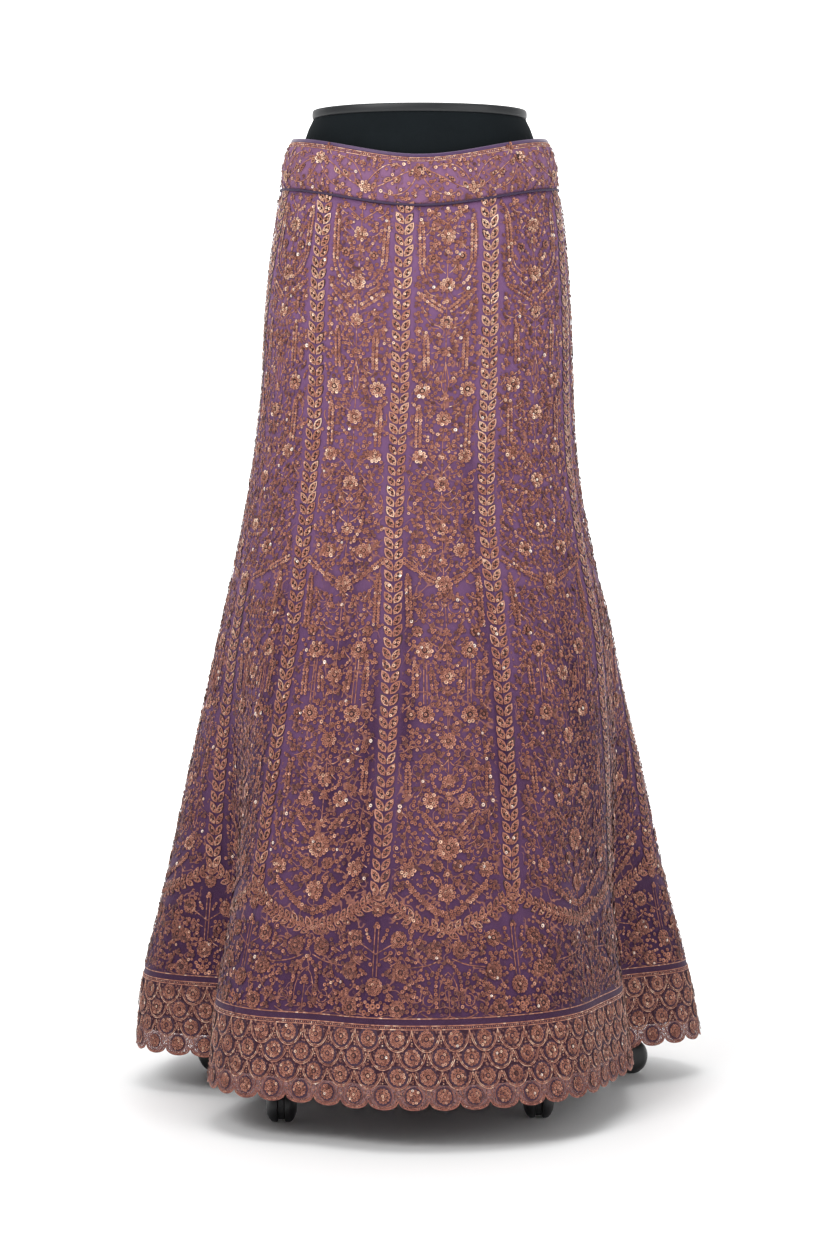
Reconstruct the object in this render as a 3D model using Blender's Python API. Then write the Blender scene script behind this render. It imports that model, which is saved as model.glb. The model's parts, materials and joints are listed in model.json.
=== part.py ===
"""Lehenga skirt of eight kalis on a black dress form with a five-arm castor stand.

Metres, +Z up, front towards -Y. The origin lies on the floor under the middle of the whole piece.
Angles run round the skirt from the middle of its front, positive towards +X.
"""

import math

import bmesh
import bpy
import numpy as np
from mathutils import Matrix, Vector

# Skirt: heights are measured at the side, before the waist dips towards the front
HEM_HEIGHT = 0.044
KALI_FOOT = 0.0685
SEAM_HEIGHT = 1.008
BAND_TOP = 1.0605
BAND_TURN = 1.038
WAIST_TOP = 1.0643
FRONT_DIP = 0.025
DIP_FADES_FROM = 0.50
DIP_FULL_AT = 1.0
KALI_WALL = 0.0015
BAND_WALL = 0.0022
LACE_WALL = 0.0012
SEAM_GAP = 0.0003

# Outline of the skirt, section by section
SECTIONS = (
    # height, half width, reach to the front, reach to the back, sway to the right
    (0.044, 0.3205, 0.3580, 0.3570, 0.0000),
    (0.118, 0.3105, 0.3380, 0.3370, -0.0030),
    (0.185, 0.2945, 0.3120, 0.3110, -0.0035),
    (0.253, 0.2790, 0.2860, 0.2870, -0.0030),
    (0.354, 0.2590, 0.2500, 0.2520, -0.0020),
    (0.455, 0.2360, 0.2150, 0.2190, -0.0025),
    (0.523, 0.2210, 0.1920, 0.1980, -0.0025),
    (0.590, 0.2035, 0.1700, 0.1780, -0.0045),
    (0.658, 0.1890, 0.1530, 0.1630, -0.0055),
    (0.725, 0.1795, 0.1425, 0.1550, -0.0045),
    (0.793, 0.1740, 0.1365, 0.1500, -0.0025),
    (0.860, 0.1715, 0.1320, 0.1460, -0.0020),
    (0.928, 0.1660, 0.1260, 0.1360, -0.0010),
    (0.962, 0.1620, 0.1220, 0.1280, 0.0000),
    (0.996, 0.1570, 0.1165, 0.1190, 0.0000),
    (1.008, 0.1545, 0.1150, 0.1170, 0.0000),
    (1.030, 0.1540, 0.1130, 0.1150, 0.0000),
    (1.045, 0.1510, 0.1100, 0.1120, 0.0000),
    (1.0643, 0.1425, 0.1045, 0.1050, 0.0000),
)

# Folds of the flare: valleys reach inwards, lobes outwards
FOLDS = (
    # angle, height where it starts, reach at the hem, spread on its left, spread on its right
    (-156.0, 0.62, -0.052, 11.0, 11.0),
    (-132.0, 0.55, 0.010, 12.0, 12.0),
    (-92.0, 0.60, 0.004, 10.0, 10.0),
    (-67.0, 0.66, -0.098, 9.0, 12.5),
    (-20.0, 0.60, -0.014, 6.0, 7.0),
    (45.0, 0.55, -0.016, 8.0, 9.0),
    (84.0, 0.68, -0.084, 27.0, 7.0),
    (103.0, 0.60, 0.014, 8.0, 12.0),
    (138.0, 0.60, -0.062, 11.0, 10.0),
)
FOLD_GROWTH = 1.25

# Seams between the kalis: where each runs at the waist and at the foot of its leaf strip
SEAMS = (
    # angle at the waist, angle at the foot
    (-77.0, -112.0),
    (-50.0, -37.0),
    (-8.0, -8.0),
    (36.6, 20.0),
    (79.0, 64.0),
    (128.0, 122.0),
    (180.0, 180.0),
    (232.0, 212.0),
)
STRIP_FOOT = 0.22
KALI_ROWS = (
    1.008, 0.965, 0.910, 0.840, 0.765, 0.690, 0.620, 0.550,
    0.470, 0.385, 0.300, 0.215, 0.135, 0.0685,
)
COLUMN_DEGREES = 7.0

# Lace edging
SCALLOP_WIDTH = 0.0320
SCALLOP_RISE = 0.0085
LACE_SEAM_STRIP = 0.0030
LACE_EDGE_STRIP = 0.0050
LACE_START = -90.0
LACE_COLUMNS = (0.0, 0.14, 0.36, 0.64, 0.86)
LACE_GAP_COLUMNS = (1, 3)

# Waist trims and the zip at the centre back
BAND_COLUMNS = 52
PIPING_HEIGHT = 0.0026
PIPING_DEPTH = 0.0022
PIPING_STANDS_OFF = 0.0007
ZIP_ANGLE = 180.0
ZIP_WIDTH = 0.0050
ZIP_CLEARANCE = 0.0008
ZIP_END = 0.800
ZIP_GAP_END = 0.750
ZIP_SEAM = 6
ZIP_WALL = 0.0014
ZIP_ROWS = 10
SLIDER_SIZE = (0.0085, 0.0040, 0.0120)
SLIDER_HEIGHT = 1.047
PULL_SIZE = (0.0055, 0.0012, 0.0240)
PULL_PIVOT_INSET = 0.0005

# Dress form
FORM_CLEARANCE = 0.0008
FORM_FOLLOWS = (1.000, 0.965, 0.925, 0.880, 0.835)
FORM_NECK = (
    # height, half width, reach to the front and to the back
    (1.0868, 0.1190, 0.0870),
    (1.0640, 0.1285, 0.0925),
    (1.0400, 0.1375, 0.0980),
    (1.0200, 0.1445, 0.1035),
)
FORM_BOTTOM = (
    # height, share of the ring above it
    (0.795, 0.955),
    (0.785, 0.900),
)
FORM_COLUMNS = 44
CAP_BOTTOM = 1.0871
CAP_TOP = 1.0970
CAP_HALF_WIDTH = 0.1200
CAP_HALF_DEPTH = 0.0880
CAP_ROUND = 0.0025

# Castor stand
POLE_RADIUS = 0.0125
POLE_TOP = 0.7847
HUB_RADIUS = 0.032
HUB_BOTTOM = 0.056
HUB_TOP = 0.100
ARM_COUNT = 5
ARM_TURN = -3.0
ARM_FRONT = -36.0
ARM_CIRCLE = 0.235
ARM_WIDTH = 0.020
ARM_HEIGHT = 0.014
ARM_BOTTOM = 0.058
BOSS_RADIUS = 0.0110
BOSS_BOTTOM = 0.052
BOSS_TOP = 0.080
STEM_RADIUS = 0.0040
STEM_TOP = 0.074
STEM_CLEARANCE = 0.0004
COLLAR_RADIUS = 0.0075
COLLAR_HEIGHT = 0.0040
WHEEL_RADIUS = 0.020
WHEEL_SIDES = 12
WHEEL_HALF_WIDTH = 0.017
WHEEL_GROOVE = 0.0036
WEB_HALF_WIDTH = 0.0030
WEB_RADIUS = 0.0170
AXLE_RADIUS = 0.0030
AXLE_CLEARANCE = 0.0004
TRAIL = 0.018
CASTOR_TRAILS = (
    # heading of each castor's trail at rest, from +Y
    180.0,
    0.0,
    60.0,
    -25.0,
    -100.0,
)

# Finish of each sort of piece: colour, roughness, metallic
FINISHES = {
    "net": ((0.148, 0.062, 0.135), 0.62, 0.0),
    "lace": ((0.330, 0.165, 0.130), 0.50, 0.2),
    "binding": ((0.095, 0.025, 0.120), 0.45, 0.0),
    "form": ((0.014, 0.018, 0.022), 0.80, 0.0),
    "castor": ((0.012, 0.012, 0.013), 0.35, 0.0),
    "steel": ((0.020, 0.020, 0.022), 0.40, 0.6),
    "zip": ((0.200, 0.110, 0.070), 0.35, 0.8),
}


def clear_scene():
    for obj in list(bpy.data.objects):
        bpy.data.objects.remove(obj, do_unlink=True)


def new_collection(name, hidden=False):
    collection = bpy.data.collections.new(name)
    collection.hide_render = hidden
    bpy.context.scene.collection.children.link(collection)
    return collection


def finish(name):
    """The Principled material of this sort of piece."""
    material = bpy.data.materials.get(name)
    if material:
        return material
    colour, roughness, metallic = FINISHES[name]
    material = bpy.data.materials.new(name)
    material.use_nodes = True
    shader = material.node_tree.nodes["Principled BSDF"]
    shader.inputs["Base Color"].default_value = (*colour, 1.0)
    shader.inputs["Roughness"].default_value = roughness
    shader.inputs["Metallic"].default_value = metallic
    return material


def smooth_step(low, high, value):
    share = min(max((value - low) / (high - low), 0.0), 1.0)
    return share * share * (3.0 - 2.0 * share)


def section_at(height):
    """The section's four sizes at this height, on a smooth curve through the table."""
    rows = np.array(SECTIONS)
    slopes = np.gradient(rows[:, 1:], rows[:, 0], axis=0)
    height = min(max(height, rows[0, 0]), rows[-1, 0])
    i = min(int(np.searchsorted(rows[:, 0], height, side="right")) - 1, len(rows) - 2)
    span = rows[i + 1, 0] - rows[i, 0]
    t = (height - rows[i, 0]) / span
    return (
        (2 * t**3 - 3 * t**2 + 1) * rows[i, 1:]
        + (t**3 - 2 * t**2 + t) * span * slopes[i]
        + (3 * t**2 - 2 * t**3) * rows[i + 1, 1:]
        + (t**3 - t**2) * span * slopes[i + 1]
    )


def oval_radius(angle, half_width, front, back):
    reach = front if math.cos(angle) > 0 else back
    return 1.0 / math.hypot(math.sin(angle) / half_width, math.cos(angle) / reach)


def fold_reach(angle, height):
    """How far the folds move the cloth outwards here."""
    total = 0.0
    for centre, start, reach, left, right in FOLDS:
        away = (math.degrees(angle) - centre + 180.0) % 360.0 - 180.0
        spread = left if away < 0 else right
        grown = smooth_step(0.0, 1.0, (start - height) / (start - HEM_HEIGHT)) ** FOLD_GROWTH
        total += reach * grown * math.exp(-0.5 * (away / spread) ** 2)
    return total


def cloth_point(angle, height):
    """A point of the skirt's outer face. The height is the one at the side."""
    *sizes, sway = section_at(height)
    radius = oval_radius(angle, *sizes) + fold_reach(angle, height)
    dip = FRONT_DIP * max(math.cos(angle), 0.0) ** 2 * smooth_step(DIP_FADES_FROM, DIP_FULL_AT, height)
    return Vector((radius * math.sin(angle) + sway, -radius * math.cos(angle), height - dip))


def cloth_normal(angle, height):
    step = 0.004
    across = cloth_point(angle + step, height) - cloth_point(angle - step, height)
    low = max(height - step, HEM_HEIGHT)
    high = min(height + step, WAIST_TOP)
    up = cloth_point(angle, high) - cloth_point(angle, low)
    return across.cross(up).normalized()


def along_cloth(angle, height, distance):
    """The angle that lies this far round the cloth from the given one."""
    step = 0.001
    pace = (cloth_point(angle + step, height) - cloth_point(angle - step, height)).length / (2 * step)
    return angle + distance / pace


def seam_angle(seam, height):
    waist, foot = SEAMS[seam % len(SEAMS)]
    share = min(max((SEAM_HEIGHT - height) / (SEAM_HEIGHT - STRIP_FOOT), 0.0), 1.0)
    turns = 360.0 if seam >= len(SEAMS) else 0.0
    return math.radians(waist + (foot - waist) * share + turns)


def new_object(name, mesh, material, collection):
    obj = bpy.data.objects.new(name, mesh)
    mesh.materials.append(finish(material))
    collection.objects.link(obj)
    return obj


def closed_wall(name, outer, inner, material, collection, kept=None):
    """A thin solid between two grids of points, whose rows run down and columns to the right.

    Cells that are not kept are left open, and every open edge is closed by the wall's thickness.
    """
    rows, columns = len(outer), len(outer[0])
    mesh = bpy.data.meshes.new(name)
    build = bmesh.new()
    verts = {}

    def vert(side, row, column):
        key = (side, row, column)
        if key not in verts:
            verts[key] = build.verts.new((outer if side == 0 else inner)[row][column])
        return verts[key]

    def is_kept(row, column):
        if not (0 <= row < rows - 1 and 0 <= column < columns - 1):
            return False
        return kept is None or kept(row, column)

    for row in range(rows - 1):
        for column in range(columns - 1):
            if not is_kept(row, column):
                continue
            corners = ((row, column), (row + 1, column), (row + 1, column + 1), (row, column + 1))
            beyond = ((row, column - 1), (row + 1, column), (row, column + 1), (row - 1, column))
            for three in ((0, 1, 2), (0, 2, 3)):
                build.faces.new([vert(0, *corners[i]) for i in three])
                build.faces.new([vert(1, *corners[i]) for i in reversed(three)])
            for i, neighbour in enumerate(beyond):
                if is_kept(*neighbour):
                    continue
                start, end = corners[i], corners[(i + 1) % 4]
                edge = (vert(0, *end), vert(0, *start), vert(1, *start), vert(1, *end))
                build.faces.new((edge[0], edge[1], edge[2]))
                build.faces.new((edge[0], edge[2], edge[3]))
    build.to_mesh(mesh)
    build.free()
    mesh.shade_smooth()
    mesh.set_sharp_from_angle(angle=math.radians(40))
    return new_object(name, mesh, material, collection)


def cloth_wall(name, places, thickness, material, collection, lift=0.0, kept=None):
    """A wall whose outer face lies on the skirt's surface, moved out by the lift."""
    outer = []
    inner = []
    for row in places:
        points = [cloth_point(*place) for place in row]
        normals = [cloth_normal(*place) for place in row]
        outer.append([p + n * lift for p, n in zip(points, normals)])
        inner.append([p + n * (lift - thickness) for p, n in zip(points, normals)])
    return closed_wall(name, outer, inner, material, collection, kept)


def is_open_for_zip(seam, height):
    return seam % len(SEAMS) == ZIP_SEAM and height > ZIP_GAP_END


def make_kalis(collection):
    """Eight shaped panels, from the waist seam to the lace."""
    for kali in range(len(SEAMS)):
        top = math.degrees(seam_angle(kali + 1, SEAM_HEIGHT) - seam_angle(kali, SEAM_HEIGHT))
        foot = math.degrees(seam_angle(kali + 1, KALI_FOOT) - seam_angle(kali, KALI_FOOT))
        columns = max(4, round(max(top, foot) / COLUMN_DEGREES))
        places = []
        for height in KALI_ROWS:
            if height == SEAM_HEIGHT:
                height -= SEAM_GAP / 2
            gaps = []
            for seam in (kali, kali + 1):
                open_here = is_open_for_zip(seam, height)
                gaps.append(ZIP_WIDTH / 2 + ZIP_CLEARANCE if open_here else SEAM_GAP / 2)
            left = along_cloth(seam_angle(kali, height), height, gaps[0])
            right = along_cloth(seam_angle(kali + 1, height), height, -gaps[1])
            places.append([(left + (right - left) * i / columns, height) for i in range(columns + 1)])
        cloth_wall(f"kali_{kali + 1}", places, KALI_WALL, "net", collection)


def waist_angles(height, columns):
    """Angles round the waist from one side of the zip to the other."""
    start = math.radians(ZIP_ANGLE - 360.0)
    gap = ZIP_WIDTH / 2 + ZIP_CLEARANCE
    left = along_cloth(start, height, gap)
    right = along_cloth(start + 2 * math.pi, height, -gap)
    return [left + (right - left) * i / columns for i in range(columns + 1)]


def make_waist(collection):
    """The shaped band, its bound top edge, and the piping on the waist seam."""
    heights = (BAND_TOP - SEAM_GAP, BAND_TURN, SEAM_HEIGHT + SEAM_GAP / 2)
    places = [[(a, h) for a in waist_angles(h, BAND_COLUMNS)] for h in heights]
    cloth_wall("waistband", places, BAND_WALL, "net", collection)
    heights = (WAIST_TOP, BAND_TOP)
    places = [[(a, h) for a in waist_angles(h, BAND_COLUMNS)] for h in heights]
    cloth_wall("waist_binding", places, BAND_WALL, "binding", collection)
    heights = (SEAM_HEIGHT + PIPING_HEIGHT / 2, SEAM_HEIGHT - PIPING_HEIGHT / 2)
    places = [[(a, h) for a in waist_angles(h, BAND_COLUMNS)] for h in heights]
    lift = PIPING_STANDS_OFF + PIPING_DEPTH
    cloth_wall("waist_piping", places, PIPING_DEPTH, "binding", collection, lift)


def hem_angles():
    """Angle of each scallop's start, an even way round the hem."""
    fine = np.radians(np.linspace(LACE_START, LACE_START + 360.0, 1441))
    points = np.array([cloth_point(a, HEM_HEIGHT + SCALLOP_RISE)[:] for a in fine])
    way = np.concatenate([[0.0], np.cumsum(np.linalg.norm(np.diff(points, axis=0), axis=1))])
    count = 2 * round(way[-1] / SCALLOP_WIDTH / 2)
    return np.interp(np.linspace(0.0, way[-1], count + 1), way, fine)


def make_lace(collection):
    """The net edging: scallops, each with an open gap on both sides of its flower."""
    starts = hem_angles()
    half = (len(starts) - 1) // 2
    per_scallop = len(LACE_COLUMNS)
    for name, first in (("lace_edge_front", 0), ("lace_edge_back", half)):
        columns = []
        for i in range(first, first + half):
            wide = starts[i + 1] - starts[i]
            columns += [(starts[i] + wide * share, share) for share in LACE_COLUMNS]
        columns.append((starts[first + half], 0.0))
        clear = SEAM_GAP / 2
        columns[0] = (along_cloth(columns[0][0], HEM_HEIGHT, clear), 0.0)
        columns[-1] = (along_cloth(columns[-1][0], HEM_HEIGHT, -clear), 0.0)
        places = [[], [], [], []]
        for angle, share in columns:
            rise = SCALLOP_RISE * (1.0 - math.sqrt(1.0 - (2.0 * share - 1.0) ** 2))
            heights = (
                KALI_FOOT - SEAM_GAP,
                KALI_FOOT - SEAM_GAP - LACE_SEAM_STRIP,
                HEM_HEIGHT + rise + LACE_EDGE_STRIP,
                HEM_HEIGHT + rise,
            )
            for row, height in zip(places, heights):
                row.append((angle, height))

        def kept(row, column):
            return not (row == 1 and column % per_scallop in LACE_GAP_COLUMNS)

        cloth_wall(name, places, LACE_WALL, "lace", collection, kept=kept)


def add_box(name, size, centre, material, collection):
    mesh = bpy.data.meshes.new(name)
    build = bmesh.new()
    bmesh.ops.create_cube(build, size=1.0)
    bmesh.ops.scale(build, vec=size, verts=build.verts)
    build.to_mesh(mesh)
    build.free()
    obj = new_object(name, mesh, material, collection)
    obj.location = centre
    return obj


def add_cylinder(name, radius, height, centre, material, collection, sides=24):
    mesh = bpy.data.meshes.new(name)
    build = bmesh.new()
    bmesh.ops.create_cone(
        build, cap_ends=True, segments=sides, radius1=radius, radius2=radius, depth=height
    )
    build.to_mesh(mesh)
    build.free()
    mesh.shade_smooth()
    mesh.set_sharp_from_angle(angle=math.radians(40))
    obj = new_object(name, mesh, material, collection)
    obj.location = centre
    return obj


def combine(obj, other, operation):
    modifier = obj.modifiers.new(f"{operation.lower()} {other.name}", "BOOLEAN")
    modifier.operation = operation
    modifier.object = other
    modifier.solver = "EXACT"


def hide_helper(obj, helpers):
    for collection in list(obj.users_collection):
        collection.objects.unlink(obj)
    helpers.objects.link(obj)
    obj.hide_render = True
    obj.display_type = "WIRE"


def make_zip(collection):
    """A slim zip in the centre-back seam, with its slider at the top and the pull tab hanging down."""
    angle = math.radians(ZIP_ANGLE)
    top = WAIST_TOP - 0.001
    places = []
    for i in range(ZIP_ROWS + 1):
        height = top + (ZIP_END - top) * i / ZIP_ROWS
        edges = [along_cloth(angle, height, side * ZIP_WIDTH / 2) for side in (-1, 1)]
        places.append([(edge, height) for edge in edges])
    cloth_wall("zip_chain", places, ZIP_WALL, "zip", collection)
    seat = cloth_point(angle, SLIDER_HEIGHT)
    out = cloth_normal(angle, SLIDER_HEIGHT)
    lean = math.atan2(out.z, out.y)
    depth = SLIDER_SIZE[1]
    slider = add_box("zip_slider", SLIDER_SIZE, seat + out * (SEAM_GAP + depth / 2), "zip", collection)
    slider.rotation_euler = (lean, 0.0, 0.0)
    pivot = seat + out * (SEAM_GAP + depth + SEAM_GAP + PULL_SIZE[1] / 2)
    pull = add_box("zip_pull", PULL_SIZE, pivot, "zip", collection)
    pull.rotation_euler = (lean, 0.0, 0.0)
    pull.data.transform(Matrix.Translation((0.0, 0.0, PULL_PIVOT_INSET - PULL_SIZE[2] / 2)))


def form_ring(height):
    """A ring of the form that lies just inside the cloth."""
    ring = []
    for i in range(FORM_COLUMNS):
        angle = 2 * math.pi * i / FORM_COLUMNS
        side_height = height
        for _ in range(6):
            side_height += height - cloth_point(angle, side_height).z
        point = cloth_point(angle, side_height)
        inward = cloth_normal(angle, side_height) * (BAND_WALL + FORM_CLEARANCE)
        inside = point - inward
        ring.append(Vector((inside.x, inside.y, height)))
    return ring


def loft(name, rings, material, collection):
    """A closed solid through rings of the same count, from the lowest to the highest."""
    mesh = bpy.data.meshes.new(name)
    build = bmesh.new()
    rows = [[build.verts.new(p) for p in ring] for ring in rings]
    count = len(rows[0])
    for low, high in zip(rows, rows[1:]):
        for i in range(count):
            j = (i + 1) % count
            build.faces.new((low[i], low[j], high[j], high[i]))
    build.faces.new(list(reversed(rows[0])))
    build.faces.new(rows[-1])
    bmesh.ops.triangulate(build, faces=build.faces)
    build.to_mesh(mesh)
    build.free()
    mesh.shade_smooth()
    mesh.set_sharp_from_angle(angle=math.radians(40))
    return new_object(name, mesh, material, collection)


def oval_ring(height, half_width, half_depth, count):
    angles = [2 * math.pi * i / count for i in range(count)]
    return [Vector((half_width * math.sin(a), -half_depth * math.cos(a), height)) for a in angles]


def make_form(collection):
    """The limbless hip form that the skirt hangs on, and its flat top disc."""
    followed = [form_ring(height) for height in FORM_FOLLOWS]
    lowest = followed[-1]
    rings = []
    for height, share in reversed(FORM_BOTTOM):
        rings.append([Vector((p.x * share, p.y * share, height)) for p in lowest])
    rings += reversed(followed)
    for height, half_width, half_depth in reversed(FORM_NECK):
        rings.append(oval_ring(height, half_width, half_depth, FORM_COLUMNS))
    loft("form_body", rings, "form", collection)
    disc = (
        (CAP_BOTTOM, CAP_ROUND / 2),
        (CAP_BOTTOM + CAP_ROUND / 2, 0.0),
        (CAP_TOP - CAP_ROUND, 0.0),
        (CAP_TOP - CAP_ROUND / 4, CAP_ROUND / 3),
        (CAP_TOP, CAP_ROUND),
    )
    rings = [
        oval_ring(height, CAP_HALF_WIDTH - inset, CAP_HALF_DEPTH - inset, FORM_COLUMNS)
        for height, inset in disc
    ]
    loft("form_cap", rings, "form", collection)


def arm_angle(arm):
    return math.radians(ARM_FRONT + ARM_TURN + arm * 360.0 / ARM_COUNT)


def arm_end(arm, height):
    angle = arm_angle(arm)
    return Vector((ARM_CIRCLE * math.sin(angle), -ARM_CIRCLE * math.cos(angle), height))


def make_base(collection, helpers):
    """The hub with five arms, each ending in a boss that is bored for its castor's stem."""
    hub_height = HUB_TOP - HUB_BOTTOM
    middle = (HUB_TOP + HUB_BOTTOM) / 2
    base = add_cylinder("stand_base", HUB_RADIUS, hub_height, (0, 0, middle), "steel", collection)
    for arm in range(ARM_COUNT):
        angle = arm_angle(arm)
        half_way = arm_end(arm, ARM_BOTTOM + ARM_HEIGHT / 2) / 2
        half_way.z *= 2
        size = (ARM_WIDTH, ARM_CIRCLE, ARM_HEIGHT)
        bar = add_box(f"arm_{arm + 1}", size, half_way, "steel", collection)
        bar.rotation_euler = (0.0, 0.0, angle)
        boss_middle = arm_end(arm, (BOSS_TOP + BOSS_BOTTOM) / 2)
        boss_height = BOSS_TOP - BOSS_BOTTOM
        boss = add_cylinder(
            f"boss_{arm + 1}", BOSS_RADIUS, boss_height, boss_middle, "steel", collection, 12
        )
        bore_middle = arm_end(arm, STEM_TOP + SEAM_GAP - boss_height / 2)
        bore = add_cylinder(
            f"bore_{arm + 1}", STEM_RADIUS + STEM_CLEARANCE, boss_height, bore_middle,
            "steel", collection, 12,
        )
        for piece, operation in ((bar, "UNION"), (boss, "UNION"), (bore, "DIFFERENCE")):
            combine(base, piece, operation)
            hide_helper(piece, helpers)
    pole_height = POLE_TOP - HUB_TOP - SEAM_GAP
    pole_middle = (POLE_TOP + HUB_TOP + SEAM_GAP) / 2
    add_cylinder("stand_pole", POLE_RADIUS, pole_height, (0, 0, pole_middle), "steel", collection, 20)


def wheel_centre_height():
    """The wheel stands on one of its flats."""
    return WHEEL_RADIUS * math.cos(math.pi / WHEEL_SIDES)


def wheel_mesh():
    """A twin wheel on its axle, turned about X, with the axle's end cap on one side."""
    half = WHEEL_HALF_WIDTH
    profile = (
        (-half, 0.0),
        (-half, 0.009),
        (-0.55 * half, WHEEL_RADIUS),
        (-WHEEL_GROOVE, WHEEL_RADIUS),
        (-WHEEL_GROOVE, AXLE_RADIUS),
        (WHEEL_GROOVE, AXLE_RADIUS),
        (WHEEL_GROOVE, WHEEL_RADIUS),
        (0.55 * half, WHEEL_RADIUS),
        (half, 0.009),
        (half, 0.0018),
        (half + 0.002, 0.0018),
        (half + 0.002, 0.0032),
        (half + 0.005, 0.0032),
        (half + 0.005, 0.0),
    )
    mesh = bpy.data.meshes.new("castor_wheel")
    build = bmesh.new()
    verts = [build.verts.new((x, 0.0, radius)) for x, radius in profile]
    for first, second in zip(verts, verts[1:]):
        build.edges.new((first, second))
    bmesh.ops.spin(
        build,
        geom=build.verts[:] + build.edges[:],
        cent=(0, 0, 0),
        axis=(1, 0, 0),
        angle=2 * math.pi,
        steps=WHEEL_SIDES,
    )
    bmesh.ops.remove_doubles(build, verts=build.verts, dist=1e-6)
    half_flat = Matrix.Rotation(math.pi / WHEEL_SIDES, 3, "X")
    bmesh.ops.rotate(build, verts=build.verts, cent=(0, 0, 0), matrix=half_flat)
    bmesh.ops.recalc_face_normals(build, faces=build.faces)
    build.to_mesh(mesh)
    build.free()
    mesh.shade_smooth()
    mesh.set_sharp_from_angle(angle=math.radians(40))
    mesh.materials.append(finish("castor"))
    return mesh


def make_castors(collection, helpers):
    """Five swivelling castors. Each body turns on its stem, and each twin wheel on its axle."""
    height = wheel_centre_height()
    shared_wheel = wheel_mesh()
    for arm in range(ARM_COUNT):
        swivel = bpy.data.objects.new(f"swivel_{arm + 1}", None)
        collection.objects.link(swivel)
        swivel.location = arm_end(arm, 0.0)
        swivel.rotation_euler = (0.0, 0.0, math.radians(-CASTOR_TRAILS[arm]))
        label = f"castor_{arm + 1}"
        collar_middle = (0, 0, BOSS_BOTTOM - SEAM_GAP - COLLAR_HEIGHT / 2)
        body = add_cylinder(
            f"{label}_body", COLLAR_RADIUS, COLLAR_HEIGHT, collar_middle, "castor", collection, 12
        )
        stem_height = STEM_TOP - BOSS_BOTTOM + COLLAR_HEIGHT / 2
        stem_middle = (0, 0, STEM_TOP - stem_height / 2)
        stem = add_cylinder(
            f"{label}_stem", STEM_RADIUS, stem_height, stem_middle, "castor", collection, 12
        )
        web = add_cylinder(
            f"{label}_web", WEB_RADIUS, 2 * WEB_HALF_WIDTH, (0, TRAIL, height), "castor", collection, 16
        )
        web.rotation_euler = (0.0, math.pi / 2, 0.0)
        neck_low = height + 0.004
        neck_high = BOSS_BOTTOM - SEAM_GAP - COLLAR_HEIGHT / 2
        neck_size = (2 * WEB_HALF_WIDTH - 0.0004, TRAIL + 0.006, neck_high - neck_low)
        neck_middle = (0, (TRAIL - 0.004) / 2, (neck_high + neck_low) / 2)
        neck = add_box(f"{label}_neck", neck_size, neck_middle, "castor", collection)
        bore = add_cylinder(
            f"{label}_bore", AXLE_RADIUS + AXLE_CLEARANCE, 0.02, (0, TRAIL, height),
            "castor", collection, 12,
        )
        bore.rotation_euler = (0.0, math.pi / 2, 0.0)
        body.parent = swivel
        for piece, operation in (
            (stem, "UNION"), (neck, "UNION"), (web, "UNION"), (bore, "DIFFERENCE"),
        ):
            piece.parent = swivel
            combine(body, piece, operation)
            hide_helper(piece, helpers)
        wheel = bpy.data.objects.new(f"{label}_wheel", shared_wheel)
        collection.objects.link(wheel)
        wheel.parent = swivel
        wheel.location = (0.0, TRAIL, height)


def main():
    clear_scene()
    parts = new_collection("lehenga_skirt_on_form")
    helpers = new_collection("helpers", hidden=True)
    make_kalis(parts)
    make_waist(parts)
    make_lace(parts)
    make_zip(parts)
    make_form(parts)
    make_base(parts, helpers)
    make_castors(parts, helpers)


main()
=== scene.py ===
"""Dresses the lehenga skirt and its form: cloth, embroidery, lace, zip, stand and stage."""

import json
import math
from contextlib import contextmanager

import bpy
import numpy as np
from bpy.props import FloatProperty, FloatVectorProperty, PointerProperty
from mathutils import Matrix, Vector


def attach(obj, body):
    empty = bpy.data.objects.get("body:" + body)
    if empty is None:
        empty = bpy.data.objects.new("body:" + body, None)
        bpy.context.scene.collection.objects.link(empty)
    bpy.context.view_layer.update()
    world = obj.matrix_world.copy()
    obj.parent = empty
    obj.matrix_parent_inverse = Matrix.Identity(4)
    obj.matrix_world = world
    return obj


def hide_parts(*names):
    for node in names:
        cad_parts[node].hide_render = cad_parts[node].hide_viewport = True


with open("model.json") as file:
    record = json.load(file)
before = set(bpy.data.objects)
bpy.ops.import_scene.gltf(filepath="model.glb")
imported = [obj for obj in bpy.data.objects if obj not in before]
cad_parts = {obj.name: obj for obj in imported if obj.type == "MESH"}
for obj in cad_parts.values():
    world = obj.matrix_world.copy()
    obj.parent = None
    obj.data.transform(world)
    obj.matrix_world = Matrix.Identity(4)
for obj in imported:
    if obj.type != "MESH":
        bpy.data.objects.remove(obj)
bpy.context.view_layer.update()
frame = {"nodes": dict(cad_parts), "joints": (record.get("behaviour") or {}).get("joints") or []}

bl_info = {
    "name": "Lehenga skirt on a dress form",
    "version": (1, 0, 0),
    "blender": (4, 5, 0),
    "location": "3D View > Sidebar > Lehenga",
    "description": "Makes the embroidered skirt, the form it hangs on and the stage",
    "category": "Object",
}

SKIRT_BODY = "skirt_on_stand"
CASTORS = 5

# Form of the skirt, in metres. An angle is 0 at the front and grows towards +X.
HEM_HEIGHT = 0.044
KALI_FOOT = 0.0685
SEAM_HEIGHT = 1.008
BAND_TOP = 1.0605
WAIST_TOP = 1.0643
FRONT_DIP = 0.025
DIP_FADES_FROM = 0.50
DIP_FULL_AT = 1.0
STRIP_FOOT = 0.22
FOLD_GROWTH = 1.25
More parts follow.
